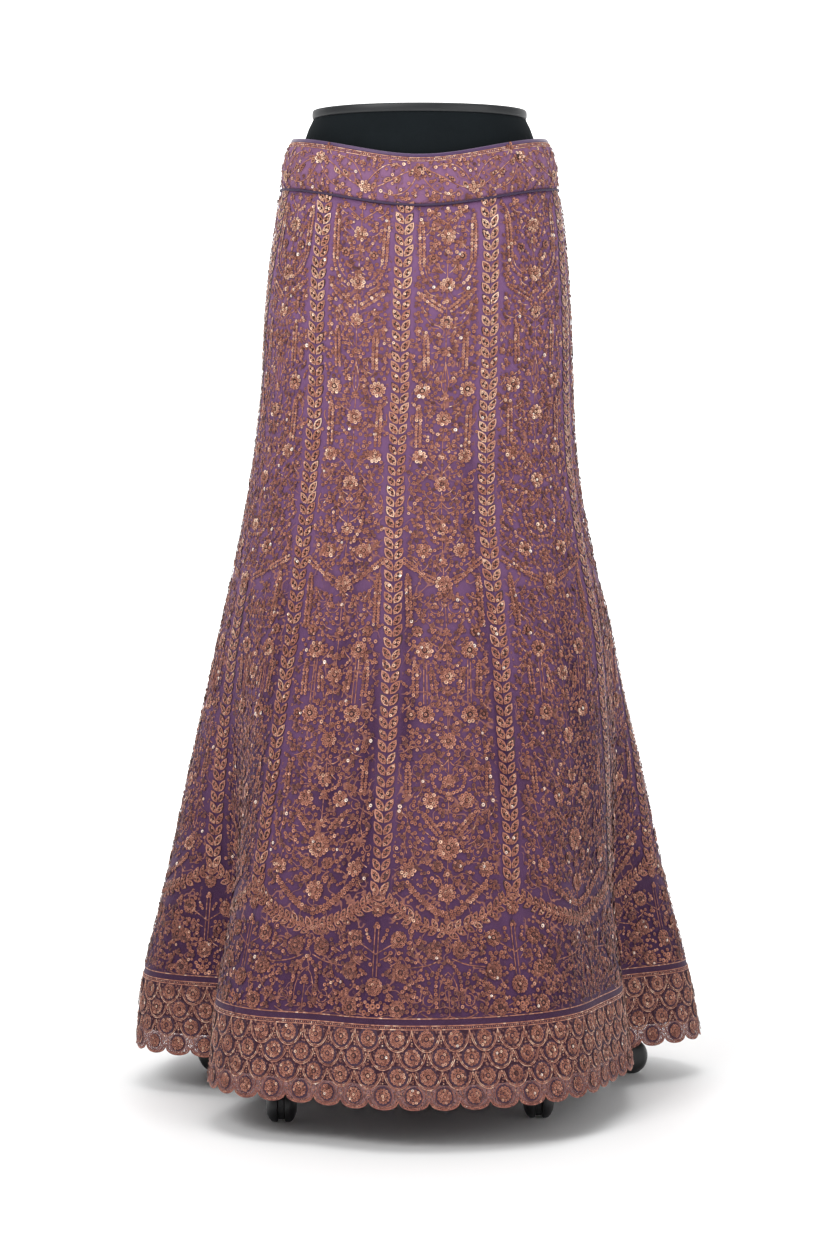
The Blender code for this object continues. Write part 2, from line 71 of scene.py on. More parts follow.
# height, half width, reach to the front, reach to the back, sway to the right
SECTIONS = (
    (0.044, 0.3205, 0.3580, 0.3570, 0.0000),
    (0.118, 0.3105, 0.3380, 0.3370, -0.0030),
    (0.185, 0.2945, 0.3120, 0.3110, -0.0035),
    (0.253, 0.2790, 0.2860, 0.2870, -0.0030),
    (0.354, 0.2590, 0.2500, 0.2520, -0.0020),
    (0.455, 0.2360, 0.2150, 0.2190, -0.0025),
    (0.523, 0.2210, 0.1920, 0.1980, -0.0025),
    (0.590, 0.2035, 0.1700, 0.1780, -0.0045),
    (0.658, 0.1890, 0.1530, 0.1630, -0.0055),
    (0.725, 0.1795, 0.1425, 0.1550, -0.0045),
    (0.793, 0.1740, 0.1365, 0.1500, -0.0025),
    (0.860, 0.1715, 0.1320, 0.1460, -0.0020),
    (0.928, 0.1660, 0.1260, 0.1360, -0.0010),
    (0.962, 0.1620, 0.1220, 0.1280, 0.0000),
    (0.996, 0.1570, 0.1165, 0.1190, 0.0000),
    (1.008, 0.1545, 0.1150, 0.1170, 0.0000),
    (1.030, 0.1540, 0.1130, 0.1150, 0.0000),
    (1.045, 0.1510, 0.1100, 0.1120, 0.0000),
    (1.0643, 0.1425, 0.1045, 0.1050, 0.0000),
)
# angle, height where it starts, reach at the hem, spread on its left, spread on its right
FOLDS = (
    (-156, 0.62, -0.052, 11, 11),
    (-132, 0.55, 0.010, 12, 12),
    (-92, 0.60, 0.004, 10, 10),
    (-67, 0.66, -0.098, 9, 12.5),
    (-20, 0.60, -0.014, 6, 7),
    (45, 0.55, -0.016, 8, 9),
    (84, 0.68, -0.084, 27, 7),
    (103, 0.60, 0.014, 8, 12),
    (138, 0.60, -0.062, 11, 10),
)
# Soft creases in the silk: angle, lowest height, highest height, depth, spread
CREASES = (
    (-150, 0.16, 0.70, 0.0016, 3.0),
    (-118, 0.10, 0.58, -0.0014, 4.0),
    (-104, 0.30, 0.86, 0.0012, 3.0),
    (-46, 0.20, 0.62, -0.0013, 3.5),
    (-31, 0.14, 0.50, 0.0015, 2.6),
    (-23, 0.24, 0.74, -0.0012, 2.4),
    (-13, 0.20, 0.55, -0.0017, 2.2),
    (-3, 0.32, 0.66, -0.0018, 2.0),
    (3, 0.16, 0.42, 0.0014, 2.6),
    (14, 0.22, 0.66, 0.0017, 2.8),
    (23, 0.28, 0.80, -0.0014, 2.2),
    (35, 0.12, 0.46, 0.0015, 3.0),
    (52, 0.22, 0.64, -0.0014, 3.4),
    (70, 0.30, 0.82, 0.0012, 3.0),
    (112, 0.14, 0.66, -0.0016, 3.6),
    (128, 0.24, 0.74, 0.0013, 3.2),
    (156, 0.12, 0.60, 0.0016, 3.6),
    (172, 0.26, 0.78, -0.0013, 3.0),
    (197, 0.18, 0.56, 0.0015, 3.4),
)
CREASE_FADE = 0.12
# angle at the waist, angle at the foot
SEAMS = ((-77, -112), (-50, -37), (-8, -8), (36.6, 20), (79, 64), (128, 122), (180, 180), (232, 212))
SPLIT_KALIS = (1, 5, 6)
SPLIT_HEIGHT = 0.574
ZIP_SEAM = 6
ZIP_ANGLE = 180.0
ZIP_END = 0.800
ZIP_GAP_END = 0.750
ZIP_OPENING = 0.0033
SCALLOP_WIDTH = 0.0320
SCALLOP_RISE = 0.0085
LACE_START = -90.0
CLOTH_THICKNESS = 0.0012
BAND_THICKNESS = 0.0018
NET_THICKNESS = 0.0006
CLOTH_LIFT = -0.00015

# Needlework: shares, tones from 0 (deep) to 1 (pale), sizes in metres
PAINTED_GLINT_SHARE = 0.008
# Painted shade: how much deeper the copper grows towards the foot, as the light falls off downwards.
SHADE_TOWARDS_FOOT = 0.36
WORK_TONE = 0.58
STRIP_TONE = 0.70
BORDER_TONE = 0.86
CORD_TONE = 0.5
FLOWER_LIGHT = 0.16
FLOWER_HEART = -0.08
FILL_SHADE = 0.16
PLACE_SPREAD = 0.00014
SIZE_SPREAD = 0.06
CORD_STEP = 0.0025
ROUND = 6.2832
ANY_TURN = 6.28
THIRD_TURN = 2.094
STRIP_TOP = 0.9985
STRIP_END = 0.255
LEAF_PITCH = 0.0120
BORDER_ROWS = (0.1140, 0.0958, 0.0768)
BORDER_CORDS = ((0.1338, 0.9), (0.1268, 1.0), (0.1232, 1.0))
BORDER_BEADS = 0.1250
LACE_MIDDLE = 0.0575
VINE_MIDDLE = 1.0345
VINE_BAYS = 14
VINE_FLOWER_RISE = 0.0120
BAND_CORDS = (1.0598, 1.0562)
BAND_BEADS = 1.0580
WORK_MAP = "OFBake"

# Stage: name, place, aim, size and power of each soft light
LIGHTS = (
    ("key_light", (-1.9, -2.8, 3.0), (0.0, 0.0, 0.8), 1.6, 74.0),
    ("fill_light", (2.6, -2.6, 1.8), (0.0, 0.0, 0.7), 2.2, 30.0),
    ("top_light", (0.0, -0.4, 3.6), (0.0, 0.0, 0.4), 2.4, 48.0),
)
CAMERA_PLACE = (-0.004, -3.5, 0.704)
CAMERA_DOWN = 2.96
CAMERA_LENS = 89.7
SKY_STRENGTH = 0.48

SECTION_ROWS = np.array(SECTIONS)
SECTION_SLOPES = np.gradient(SECTION_ROWS[:, 1:], SECTION_ROWS[:, 0], axis=0)


# Settings

def length(name, description, default):
    return FloatProperty(name=name, description=description, default=default, unit="LENGTH", precision=4)


def colour(name, description, default):
    return FloatVectorProperty(
        name=name, description=description, default=default, subtype="COLOR", min=0.0, max=1.0
    )


class LehengaSizes(bpy.types.PropertyGroup):
    """Real sizes of the needlework."""

    sequin: length("Sequin radius", "Outer radius of a ring sequin", 0.0026)
    knot: length("Bead radius", "Radius of a small bead", 0.0010)
    cord: length("Cord width", "Width of the couched cord", 0.0014)
    leaf: length("Leaf length", "Length of a leaf on the seam strips", 0.0158)


class LehengaColours(bpy.types.PropertyGroup):
    """Colours of the cloth, the metal thread and the stand."""

    # The light and deep nets are one cloth: their mix is painted light near the waist and painted shade low
    # down and in the folds.
    mauve: colour("Light net", "Net over silk where light catches it", (0.188, 0.088, 0.192))
    plum: colour("Deep net", "Net over silk low down and in the folds", (0.034, 0.010, 0.037))
    binding: colour("Binding", "Plain silk of the binding and piping", (0.070, 0.018, 0.100))
    copper: colour("Copper", "Middle tone of the sequins and cord", (0.425, 0.168, 0.108))
    shade: colour("Copper in shade", "Foot of each sequin and cord", (0.045, 0.013, 0.018))
    pale: colour("Pale copper", "Lightest sequins", (0.750, 0.465, 0.320))
    cover: colour("Form cover", "Stretch cover of the form", (0.0035, 0.0050, 0.0060))
    cap: colour("Form cap", "Top plate of the form", (0.0045, 0.0055, 0.0065))
    metal: colour("Stand", "Black coated steel", (0.016, 0.016, 0.017))
    floor: colour("Floor", "Pale studio paper", (0.900, 0.900, 0.900))


def sizes():
    return bpy.context.scene.lehenga_sizes


def colours():
    return bpy.context.scene.lehenga_colours


def rgba(value):
    return (*value, 1.0)


# Shader expressions

class Wire:
    """One node socket in an expression."""

    def __init__(self, finish, socket):
        self.finish = finish
        self.socket = socket

    def sum_of(self, operation, first, second):
        return self.finish.node("ShaderNodeMath", {"operation": operation}, {0: first, 1: second})

    def __add__(self, other):
        return self.sum_of("ADD", self, other)

    def __radd__(self, other):
        return self.sum_of("ADD", other, self)

    def __sub__(self, other):
        return self.sum_of("SUBTRACT", self, other)

    def __rsub__(self, other):
        return self.sum_of("SUBTRACT", other, self)

    def __mul__(self, other):
        return self.sum_of("MULTIPLY", self, other)

    def __rmul__(self, other):
        return self.sum_of("MULTIPLY", other, self)


class Finish:
    """A material with a Principled shader, built up from node expressions."""

    def __init__(self, name, **constants):
        self.material = bpy.data.materials.new(name)
        self.material.use_nodes = True
        self.tree = self.material.node_tree
        self.shader = self.tree.nodes["Principled BSDF"]
        for label, value in constants.items():
            self.set(label.replace("_", " "), value)

    def set(self, label, value):
        self.feed(self.shader.inputs[label], value)

    def feed(self, socket, value):
        if isinstance(value, Wire):
            self.tree.links.new(value.socket, socket)
        else:
            socket.default_value = value

    def node(self, kind, settings=None, values=None, output=0):
        made = self.tree.nodes.new(kind)
        for label, setting in (settings or {}).items():
            if label == "stops":
                self.set_stops(made.color_ramp, setting)
            else:
                setattr(made, label, setting)
        for label, value in (values or {}).items():
            self.feed(made.inputs[label], value)
        return Wire(self, made.outputs[output])

    def set_stops(self, ramp, stops):
        while len(ramp.elements) < len(stops):
            ramp.elements.new(0.5)
        for element, (place, tint) in zip(ramp.elements, stops):
            element.position = place
            element.color = tint

    def mix(self, share, first, second):
        return self.node("ShaderNodeMix", {"data_type": "RGBA"}, {0: share, 6: first, 7: second}, 2)

    def ramp(self, value, low, high):
        stops = ((low, (0, 0, 0, 1)), (high, (1, 1, 1, 1)))
        return self.node("ShaderNodeValToRGB", {"stops": stops}, {0: value})

    def place(self, scale=(1.0, 1.0, 1.0)):
        where = self.node("ShaderNodeTexCoord", output=3)
        return self.node("ShaderNodeMapping", {}, {"Vector": where, "Scale": scale})

    def noise(self, scale, detail=2.0, stretch=(1.0, 1.0, 1.0)):
        values = {"Vector": self.place(stretch), "Scale": scale, "Detail": detail}
        return self.node("ShaderNodeTexNoise", {}, values)

    def height(self):
        return self.node("ShaderNodeSeparateXYZ", {}, {0: self.place()}, 2)

    def bump(self, value, strength, distance):
        values = {"Height": value, "Strength": strength, "Distance": distance}
        self.set("Normal", self.node("ShaderNodeBump", {}, values))

    def map_part(self, axis):
        where = self.node("ShaderNodeUVMap", {"uv_map": WORK_MAP})
        return self.node("ShaderNodeSeparateXYZ", {}, {0: where}, axis)

    def noted(self, name):
        return self.node("ShaderNodeAttribute", {"attribute_name": name}, output=2)

    def size_of(self, value):
        return self.node("ShaderNodeMath", {"operation": "ABSOLUTE"}, {0: value})

    def cells(self, scale, feature="F1"):
        values = {"Vector": self.place(), "Scale": scale}
        return self.node("ShaderNodeTexVoronoi", {"feature": feature}, values)


def net_finish(name="net_over_silk", rosy=0.0):
    """Fine net over plum silk with a faint slub: painted light near the waist, painted shade deep in the
    folds and creases.
    """
    tint = colours()
    finish = Finish(name, Roughness=0.66, Sheen_Weight=0.04, Sheen_Roughness=0.5)
    finish.set("Sheen Tint", (0.75, 0.55, 0.78, 1.0))
    finish.set("Specular IOR Level", 0.14)
    # Painted light rises with the height and painted shade fills the folds and creases; the clouds and slub
    # are uneven tone.
    rise = finish.ramp(finish.height(), 0.05, 0.98)
    cloudy = finish.noise(9.0, 3.0)
    slub = finish.noise(60.0, 3.0, (1.0, 1.0, 0.05))
    light = rise * 0.88 + (cloudy - 0.5) * 0.50 + (slub - 0.5) * 0.26 - finish.noted("dent") * 0.55 + 0.01
    thread = finish.ramp(finish.cells(900.0, "DISTANCE_TO_EDGE"), 0.0, 0.16)
    base = finish.mix(light, rgba(tint.plum), rgba(tint.mauve))
    base = finish.mix(rosy, base, (0.330, 0.155, 0.215, 1.0))
    line = 1.0 - finish.ramp(finish.height(), 0.1336, 0.1344)
    base = finish.mix(line * 0.62, base, (0.034, 0.012, 0.030, 1.0))
    lifted = finish.mix(0.10, base, (0.30, 0.16, 0.30, 1.0))
    ground = finish.mix(thread, lifted, base)
    bead = 1.0 - finish.ramp(finish.cells(330.0), 0.10, 0.52)
    field = finish.mix(bead, (0.040, 0.014, 0.024, 1.0), (0.330, 0.150, 0.115, 1.0))
    border = 1.0 - finish.ramp(finish.height(), 0.1215, 0.1220)
    worked, raised = small_stitches(finish, ground)
    finish.set("Base Color", finish.mix(border, worked, field))
    finish.bump((1.0 - thread) * 0.2 + bead * border + raised, 0.5, 0.0009)
    return finish.material


def small_stitches(finish, ground):
    """The smallest tendrils and sequins, drawn on the ground between the strips, with painted shade round
    them.
    """
    away = finish.size_of(finish.noise(52.0, 1.0) - 0.5)
    clear = finish.ramp(finish.noted("clear"), 0.0120, 0.0155)
    free = clear * finish.ramp(finish.height(), 0.136, 0.138)
    tendril = (1.0 - finish.ramp(away, 0.008, 0.018)) * free * 0.75
    near = (1.0 - finish.ramp(away, 0.070, 0.110)) * free
    grains = finish.cells(190.0)
    held = (1.0 - finish.ramp(grains, 0.37, 0.41)) * near
    crown = finish.ramp(grains, 0.09, 0.15) * (1.0 - finish.ramp(grains, 0.29, 0.36)) * held
    shade = rgba(colours().shade)
    tone = finish.noise(300.0, 1.0)
    metal = finish.mix(tone, (0.190, 0.072, 0.058, 1.0), (0.400, 0.170, 0.115, 1.0))
    # Painted shade: a dark halo round the small sequins and near the tendrils.
    shaded = finish.mix(held * 0.75 + near * 0.22, ground, shade)
    drawn = finish.mix(tendril, shaded, metal)
    return finish.mix(crown, drawn, metal), tendril * 0.6 + crown


def binding_finish():
    """Plain purple silk on the cut edge and over the piping cord."""
    finish = Finish("binding_silk", Roughness=0.5, Sheen_Weight=0.3)
    grain = finish.noise(1400.0, 2.0, (1.0, 1.0, 0.25))
    deep = tuple(0.45 * c for c in colours().binding)
    finish.set("Base Color", finish.mix(grain, rgba(deep), rgba(colours().binding)))
    finish.bump(grain, 0.3, 0.0002)
    return finish.material


def thread_finish(name, stops, metallic, roughness):
    """Metal thread or sequins: the map's first axis holds the tone, the second the way across, along which
    shade is painted on the feet and in the hole and light on the crown.
    """
    finish = Finish(name, Metallic=metallic)
    tone = finish.map_part(0)
    across = finish.map_part(1)
    tint = finish.node("ShaderNodeValToRGB", {"stops": stops}, {0: tone})
    # Painted shade at the feet and in the holes, painted light on the crowns.
    crown = 1.0 - finish.size_of(across * 2.0 - 1.0)
    lit = finish.ramp(crown, 0.16, 0.64)
    finish.set("Base Color", finish.mix(lit, rgba(colours().shade), tint))
    finish.set("Roughness", roughness + 0.12 - tone * 0.20)
    return finish.material


def copper_stops(warmth):
    """Tones of copper from its shade to its palest; more warmth is more orange."""
    middle = tuple(colours().copper)
    pale = tuple(colours().pale)
    deep = (middle[0] * 0.62, middle[1] * 0.50, middle[2] * (0.60 - warmth))
    return (
        (0.0, (0.100, 0.029, 0.026, 1.0)), (0.28, rgba(deep)), (0.58, rgba(middle)),
        (0.90, rgba(pale)), (1.0, (0.900, 0.640, 0.480, 1.0)),
    )


def gap_shade_finish():
    """Dark silk seen in the gap round a medallion, painted darker as the shade in that gap."""
    finish = Finish("gap_shade_silk", Roughness=0.8)
    tone = finish.noise(220.0, 2.0)
    finish.set("Base Color", finish.mix(tone, (0.032, 0.012, 0.026, 1.0), (0.062, 0.024, 0.050, 1.0)))
    return finish.material


def lace_finish():
    """Open net of the scalloped edging, mostly holes between fine twisted threads."""
    finish = Finish("lace_net", Roughness=0.7)
    thread = 1.0 - finish.ramp(finish.cells(620.0, "DISTANCE_TO_EDGE"), 0.12, 0.19)
    tone = finish.noise(120.0, 2.0)
    finish.set("Base Color", finish.mix(tone, (0.150, 0.066, 0.072, 1.0), (0.330, 0.160, 0.150, 1.0)))
    finish.set("Alpha", thread)
    return finish.material


def cover_finish():
    """Matte black stretch jersey over the form."""
    finish = Finish("form_cover", Roughness=0.85)
    finish.set("Specular IOR Level", 0.10)
    knit = finish.node(
        "ShaderNodeTexWave", {"bands_direction": "X"},
        {"Vector": finish.place(), "Scale": 260.0, "Distortion": 1.2, "Detail": 1.0},
        1,
    )
    blotch = finish.noise(26.0, 3.0)
    light = tuple(2.1 * c for c in colours().cover)
    finish.set("Base Color", finish.mix(knit * 0.4 + blotch * 0.6, rgba(colours().cover), rgba(light)))
    finish.bump(knit, 0.25, 0.0003)
    return finish.material


def plastic_finish(name, tint, roughness, speckle):
    """Black moulded plastic or coated steel with a fine orange-peel."""
    finish = Finish(name)
    peel = finish.noise(speckle, 3.0)
    dull = finish.noise(30.0, 2.0)
    light = tuple(1.8 * c for c in tint)
    finish.set("Base Color", finish.mix(dull, rgba(tint), rgba(light)))
    finish.set("Roughness", dull * 0.2 + roughness)
    finish.bump(peel, 0.12, 0.0002)
    return finish.material


def zip_finish():
    """Dark nickel with rubbed edges."""
    finish = Finish("zip_metal", Metallic=0.9)
    rub = finish.noise(700.0, 2.0)
    finish.set("Base Color", finish.mix(rub, (0.09, 0.05, 0.10, 1.0), (0.26, 0.18, 0.24, 1.0)))
    finish.set("Roughness", rub * 0.2 + 0.3)
    return finish.material


def floor_finish():
    """Seamless studio paper, with a painted glow that grows away from the middle."""
    finish = Finish("studio_paper", Roughness=0.5)
    tone = finish.noise(1.3, 2.0)
    finish.set("Base Color", finish.mix(tone, rgba(colours().floor), (0.93, 0.93, 0.93, 1.0)))
    finish.set("Specular IOR Level", 0.25)
    away = finish.node("ShaderNodeVectorMath", {"operation": "LENGTH"}, {0: finish.place()}, 1)
    glow = finish.ramp(away * 0.25, 0.12, 0.32)
    finish.set("Emission Color", finish.mix(glow, (0.0, 0.0, 0.0, 1.0), (1.0, 1.0, 1.0, 1.0)))
    finish.set("Emission Strength", 0.75)
    return finish.material


MAKERS = {
    "net": net_finish,
    "band": lambda: net_finish("band_net", 0.22),
    "binding": binding_finish,
    "lace": lace_finish,
    "cover": cover_finish,
    "zip": zip_finish,
    "floor": floor_finish,
    "gap": gap_shade_finish,
    "cord": lambda: thread_finish("copper_cord", copper_stops(0.05), 0.20, 0.48),
    "sequin": lambda: thread_finish("copper_sequins", copper_stops(0.12), 0.32, 0.38),
    # Pale sequins that stand for glints: painted highlights.
    "painted_glint": lambda: thread_finish(
        "painted_glint_sequins", ((0.0, (0.72, 0.50, 0.40, 1.0)), (1.0, (0.96, 0.84, 0.74, 1.0))), 0.25, 0.22
    ),
    "piping": lambda: plastic_finish("piping_silk", (0.020, 0.007, 0.030), 0.55, 900.0),
    "cap": lambda: plastic_finish("form_cap_plastic", tuple(colours().cap), 0.38, 900.0),
    "metal": lambda: plastic_finish("stand_coating", tuple(colours().metal), 0.40, 700.0),
    "castor": lambda: plastic_finish("castor_plastic", (0.010, 0.010, 0.011), 0.34, 1200.0),
}
MADE = {}


def finish_of(name):
    if name not in MADE:
        MADE[name] = MAKERS[name]()
    return MADE[name]


# The skirt's surface

def smooth_step(low, high, value):
    share = np.clip((value - low) / (high - low), 0.0, 1.0)
    return share * share * (3.0 - 2.0 * share)


def section_at(height):
    """Half width, reaches and sway at each height, as columns."""
    heights = SECTION_ROWS[:, 0]
    h = np.clip(height, heights[0], heights[-1])
    row = np.clip(np.searchsorted(heights, h) - 1, 0, len(heights) - 2)
    wide = heights[row + 1] - heights[row]
    t = ((h - heights[row]) / wide)[..., None]
    wide = wide[..., None]
    low = SECTION_ROWS[row, 1:]
    high = SECTION_ROWS[row + 1, 1:]
    value = (2 * t**3 - 3 * t**2 + 1) * low + (3 * t**2 - 2 * t**3) * high
    value += (t**3 - 2 * t**2 + t) * wide * SECTION_SLOPES[row]
    value += (t**3 - t**2) * wide * SECTION_SLOPES[row + 1]
    return np.moveaxis(value, -1, 0)


def away_from(angle, centre):
    return (np.degrees(angle) - centre + 180.0) % 360.0 - 180.0


def fold_reach(angle, height):
    total = np.zeros(np.broadcast(angle, height).shape)
    for centre, start, reach, left, right in FOLDS:
        away = away_from(angle, centre)
        spread = np.where(away < 0, left, right)
        grown = smooth_step(0.0, 1.0, (start - height) / (start - HEM_HEIGHT)) ** FOLD_GROWTH
        total = total + reach * grown * np.exp(-0.5 * (away / spread) ** 2)
    return total


def crease_reach(angle, height):
    total = np.zeros(np.broadcast(angle, height).shape)
    for centre, low, high, depth, spread in CREASES:
        along = smooth_step(low, low + CREASE_FADE, height)
        along = along * (1.0 - smooth_step(high - CREASE_FADE, high, height))
        total = total + depth * along * np.exp(-0.5 * (away_from(angle, centre) / spread) ** 2)
    return total


def cloth_points(angle, height):
    """Points of the skirt's outer face, one row each."""
    angle = np.asarray(angle, float)
    height = np.asarray(height, float)
    half_width, front, back, sway = section_at(height)
    reach = np.where(np.cos(angle) > 0, front, back)
    radius = 1.0 / np.hypot(np.sin(angle) / half_width, np.cos(angle) / reach)
    radius = radius + fold_reach(angle, height) + crease_reach(angle, height)
    dip = FRONT_DIP * np.maximum(np.cos(angle), 0.0) ** 2 * smooth_step(DIP_FADES_FROM, DIP_FULL_AT, height)
    return np.stack([radius * np.sin(angle) + sway, -radius * np.cos(angle), height - dip], axis=-1)


def cloth_at(angle, height, lift):
    """The same points moved out of the cloth."""
    step = 0.003
    across = cloth_points(angle + step, height) - cloth_points(angle - step, height)
    up = cloth_points(angle, height + step) - cloth_points(angle, height - step)
    normal = np.cross(across, up)
    normal /= np.linalg.norm(normal, axis=-1, keepdims=True)
    return cloth_points(angle, height) + normal * np.asarray(lift)[..., None]


def seam_angle(seam, height):
    waist, foot = SEAMS[seam % len(SEAMS)]
    share = np.clip((SEAM_HEIGHT - height) / (SEAM_HEIGHT - STRIP_FOOT), 0.0, 1.0)
    turn = 360.0 if seam >= len(SEAMS) else 0.0
    return np.radians(waist + turn + (foot - waist) * share)


def way_round(angles, height):
    """Distance along the cloth at each of a row of angles."""
    points = cloth_points(angles, np.full(len(angles), height))
    steps = np.linalg.norm(np.diff(points, axis=0), axis=1)
    return np.concatenate([[0.0], np.cumsum(steps)])


def hem_angles():
    """Angle of each scallop's start, an even way round the hem."""
    fine = np.radians(np.linspace(LACE_START, LACE_START + 360.0, 1441))
    way = way_round(fine, HEM_HEIGHT + SCALLOP_RISE)
    count = 2 * round(way[-1] / SCALLOP_WIDTH / 2)
    return np.interp(np.linspace(0.0, way[-1], count + 1), way, fine)


HEM_ANGLES = hem_angles()
SCALLOPS = len(HEM_ANGLES) - 1


# Guides: each turns a place drawn flat into an angle on the skirt

GRID_HEIGHTS = np.linspace(HEM_HEIGHT, SEAM_HEIGHT + 0.004, 97)
GRID_SHARES = np.linspace(0.0, 1.0, 49)


def kali_table(kali):
    """Angles at even distances across a kali, a row for each grid height, and the kali's widths."""
    rows = []
    widths = []
    for height in GRID_HEIGHTS:
        left = seam_angle(kali - 1, height)
        right = seam_angle(kali, height)
        fine = left + (right - left) * np.linspace(0.0, 1.0, 161)
        way = way_round(fine, height)
        rows.append(np.interp(GRID_SHARES * way[-1], way, fine))
        widths.append(way[-1])
    return np.array(rows), np.array(widths)


KALI_TABLES = {kali: kali_table(kali) for kali in range(1, len(SEAMS) + 1)}
REFERENCE_WIDTHS = KALI_TABLES[3][1]


class ColumnGuide:
    """The ground between two leaf strips; a place is the distance from its middle and the height."""

    def __init__(self, kali, low, high):
        self.table, widths = KALI_TABLES[kali]
        self.low = low
        self.high = high
        self.full = widths
        self.widths = widths * (high - low)

    def spread(self, height):
        """How much wider the ground is here than on the front kali."""
        return np.interp(height, GRID_HEIGHTS, self.widths / REFERENCE_WIDTHS)

    def half_width(self, height):
        return np.interp(height, GRID_HEIGHTS, self.widths) / 2

    def angle(self, x, height):
        share = (self.low + self.high) / 2 + x / np.interp(height, GRID_HEIGHTS, self.full)
        return self.at_share(share, height)

    def at_share(self, share, height):
        row = (np.asarray(height) - GRID_HEIGHTS[0]) / (GRID_HEIGHTS[1] - GRID_HEIGHTS[0])
        row_low = np.clip(row.astype(int), 0, len(GRID_HEIGHTS) - 2)
        column = np.asarray(share) * (len(GRID_SHARES) - 1)
        column_low = np.clip(np.floor(column).astype(int), 0, len(GRID_SHARES) - 2)
        down = row - row_low
        along = column - column_low
        table = self.table
        low = table[row_low, column_low] * (1 - along) + table[row_low, column_low + 1] * along
        high = table[row_low + 1, column_low] * (1 - along) + table[row_low + 1, column_low + 1] * along
        return low * (1 - down) + high * down


class LineGuide:
    """A line down the cloth, such as a seam; a place is the distance from it and the height."""

    def __init__(self, angles):
        self.angles = angles
        step = 0.01
        left = cloth_points(angles - step, GRID_HEIGHTS)
        right = cloth_points(angles + step, GRID_HEIGHTS)
        self.rates = np.linalg.norm(right - left, axis=1) / (2 * step)

    def half_width(self, height):
        """How far to each side the flowers at a strip's foot reach."""
        return 0.038

    def angle(self, x, height):
        middle = np.interp(height, GRID_HEIGHTS, self.angles)
        return middle + x / np.interp(height, GRID_HEIGHTS, self.rates)


class HemGuide:
    """The hem, drawn round from its left side; a place is the distance round and the height."""

    def __init__(self):
        turn = 2 * math.pi
        self.angles = np.concatenate([HEM_ANGLES[-4:-1] - turn, HEM_ANGLES, HEM_ANGLES[1:4] + turn])

    def angle(self, x, height):
        return np.interp(np.asarray(x) / SCALLOP_WIDTH, np.arange(-3, SCALLOPS + 4), self.angles)


class BandGuide:
    """The waistband; a place is the distance from the centre front and the height."""

    def __init__(self):
        self.fine = np.radians(np.linspace(-180.0, 180.0, 721))
        way = way_round(self.fine, (SEAM_HEIGHT + BAND_TOP) / 2)
        self.way = way - way[-1] / 2

    def half_width(self, height):
        return self.way[-1] - 0.008

    def angle(self, x, height):
        return np.interp(x, self.way, self.fine)


# Small shapes, each one unit in size, as points, faces and map places

def circle(count, radius, height, turn=0.0):
    angles = np.arange(count) * 2 * math.pi / count + turn
    return np.stack([radius * np.cos(angles), radius * np.sin(angles), np.full(count, height)], 1)


def band_shape(low, high, across):
    """One band of faces between two closed loops, with the map's second axis running across it."""
    count = len(low)
    here = np.arange(count)
    after = (here + 1) % count
    corners = [(0, across[0]), (1, across[0]), (1, across[1]), (0, across[1])]
    faces = np.stack([here, after, count + after, count + here], 1)
    return np.concatenate([low, high]), faces, np.array(corners * count, float)


LEAF_EDGE = ((0.0, 0.0), (0.20, 0.22), (0.26, 0.50), (0.17, 0.78), (0.0, 1.0), (-0.17, 0.78), (-0.26, 0.50),
             (-0.20, 0.22))


def leaf_loop(share, height):
    """A pointed leaf's outline from its foot at the origin to its tip, drawn in towards its middle."""
    points = np.array([(x, y, height) for x, y in LEAF_EDGE])
    middle = np.array([0.0, 0.5, height])
    return middle + (points - middle) * np.array([share, 0.35 + 0.65 * share, 1.0])


def leaf_bed():
    """The dark ground inside a leaf, in the copper-in-shade colour as painted shade."""
    faces = np.array([(0, 1, 2, 3), (0, 3, 4, 5), (0, 5, 6, 7)])
    corners = [(0, 0), (1, 0), (1, 0.06), (0, 0.06)]
    return leaf_loop(0.96, 0.0), faces, np.array(corners * 3, float)


SHAPES = {
    "ring": band_shape(circle(8, 0.22, 0.08), circle(8, 1.0, 0.36), (0.04, 0.93)),
    "bead": band_shape(circle(6, 0.20, 0.08), circle(6, 1.0, 0.36), (0.04, 0.92)),
    "knot": band_shape(circle(5, 1.0, 0.05), circle(5, 0.14, 0.80), (0.12, 0.52)),
    "leaf": band_shape(leaf_loop(0.60, 0.045), leaf_loop(1.0, 0.050), (0.14, 0.88)),
    "bed": leaf_bed(),
    # A flat disc for painted shade under flowers and round medallions.
    "shade_disc": band_shape(circle(9, 1.0, 0.0), circle(9, 0.05, 0.0), (0.0, 0.06)),
}
SLOTS = ("cord", "sequin", "painted_glint", "gap")
SLOT_OF = {"ring": 1, "bead": 1, "knot": 1, "leaf": 0, "bed": 0, "shade_disc": 0}


def smooth_path(points, spacing):
    """A soft curve through the points, at about even steps."""
    p = np.asarray(points, float)
    if len(p) == 2:
        steps = max(2, int(np.linalg.norm(p[1] - p[0]) / spacing))
        return p[0] + (p[1] - p[0]) * np.linspace(0, 1, steps + 1)[:, None]
    ends = np.concatenate([[2 * p[0] - p[1]], p, [2 * p[-1] - p[-2]]])
    found = []
    for i in range(len(p) - 1):
        a, b, c, d = ends[i:i + 4]
        steps = max(1, round(np.linalg.norm(c - b) / spacing))
        t = np.arange(steps)[:, None] / steps
        found.append(0.5 * (2 * b + (c - a) * t + (2 * a - 5 * b + 4 * c - d) * t**2
                            + (3 * b - a - 3 * c + d) * t**3))
    return np.concatenate([*found, [p[-1]]])


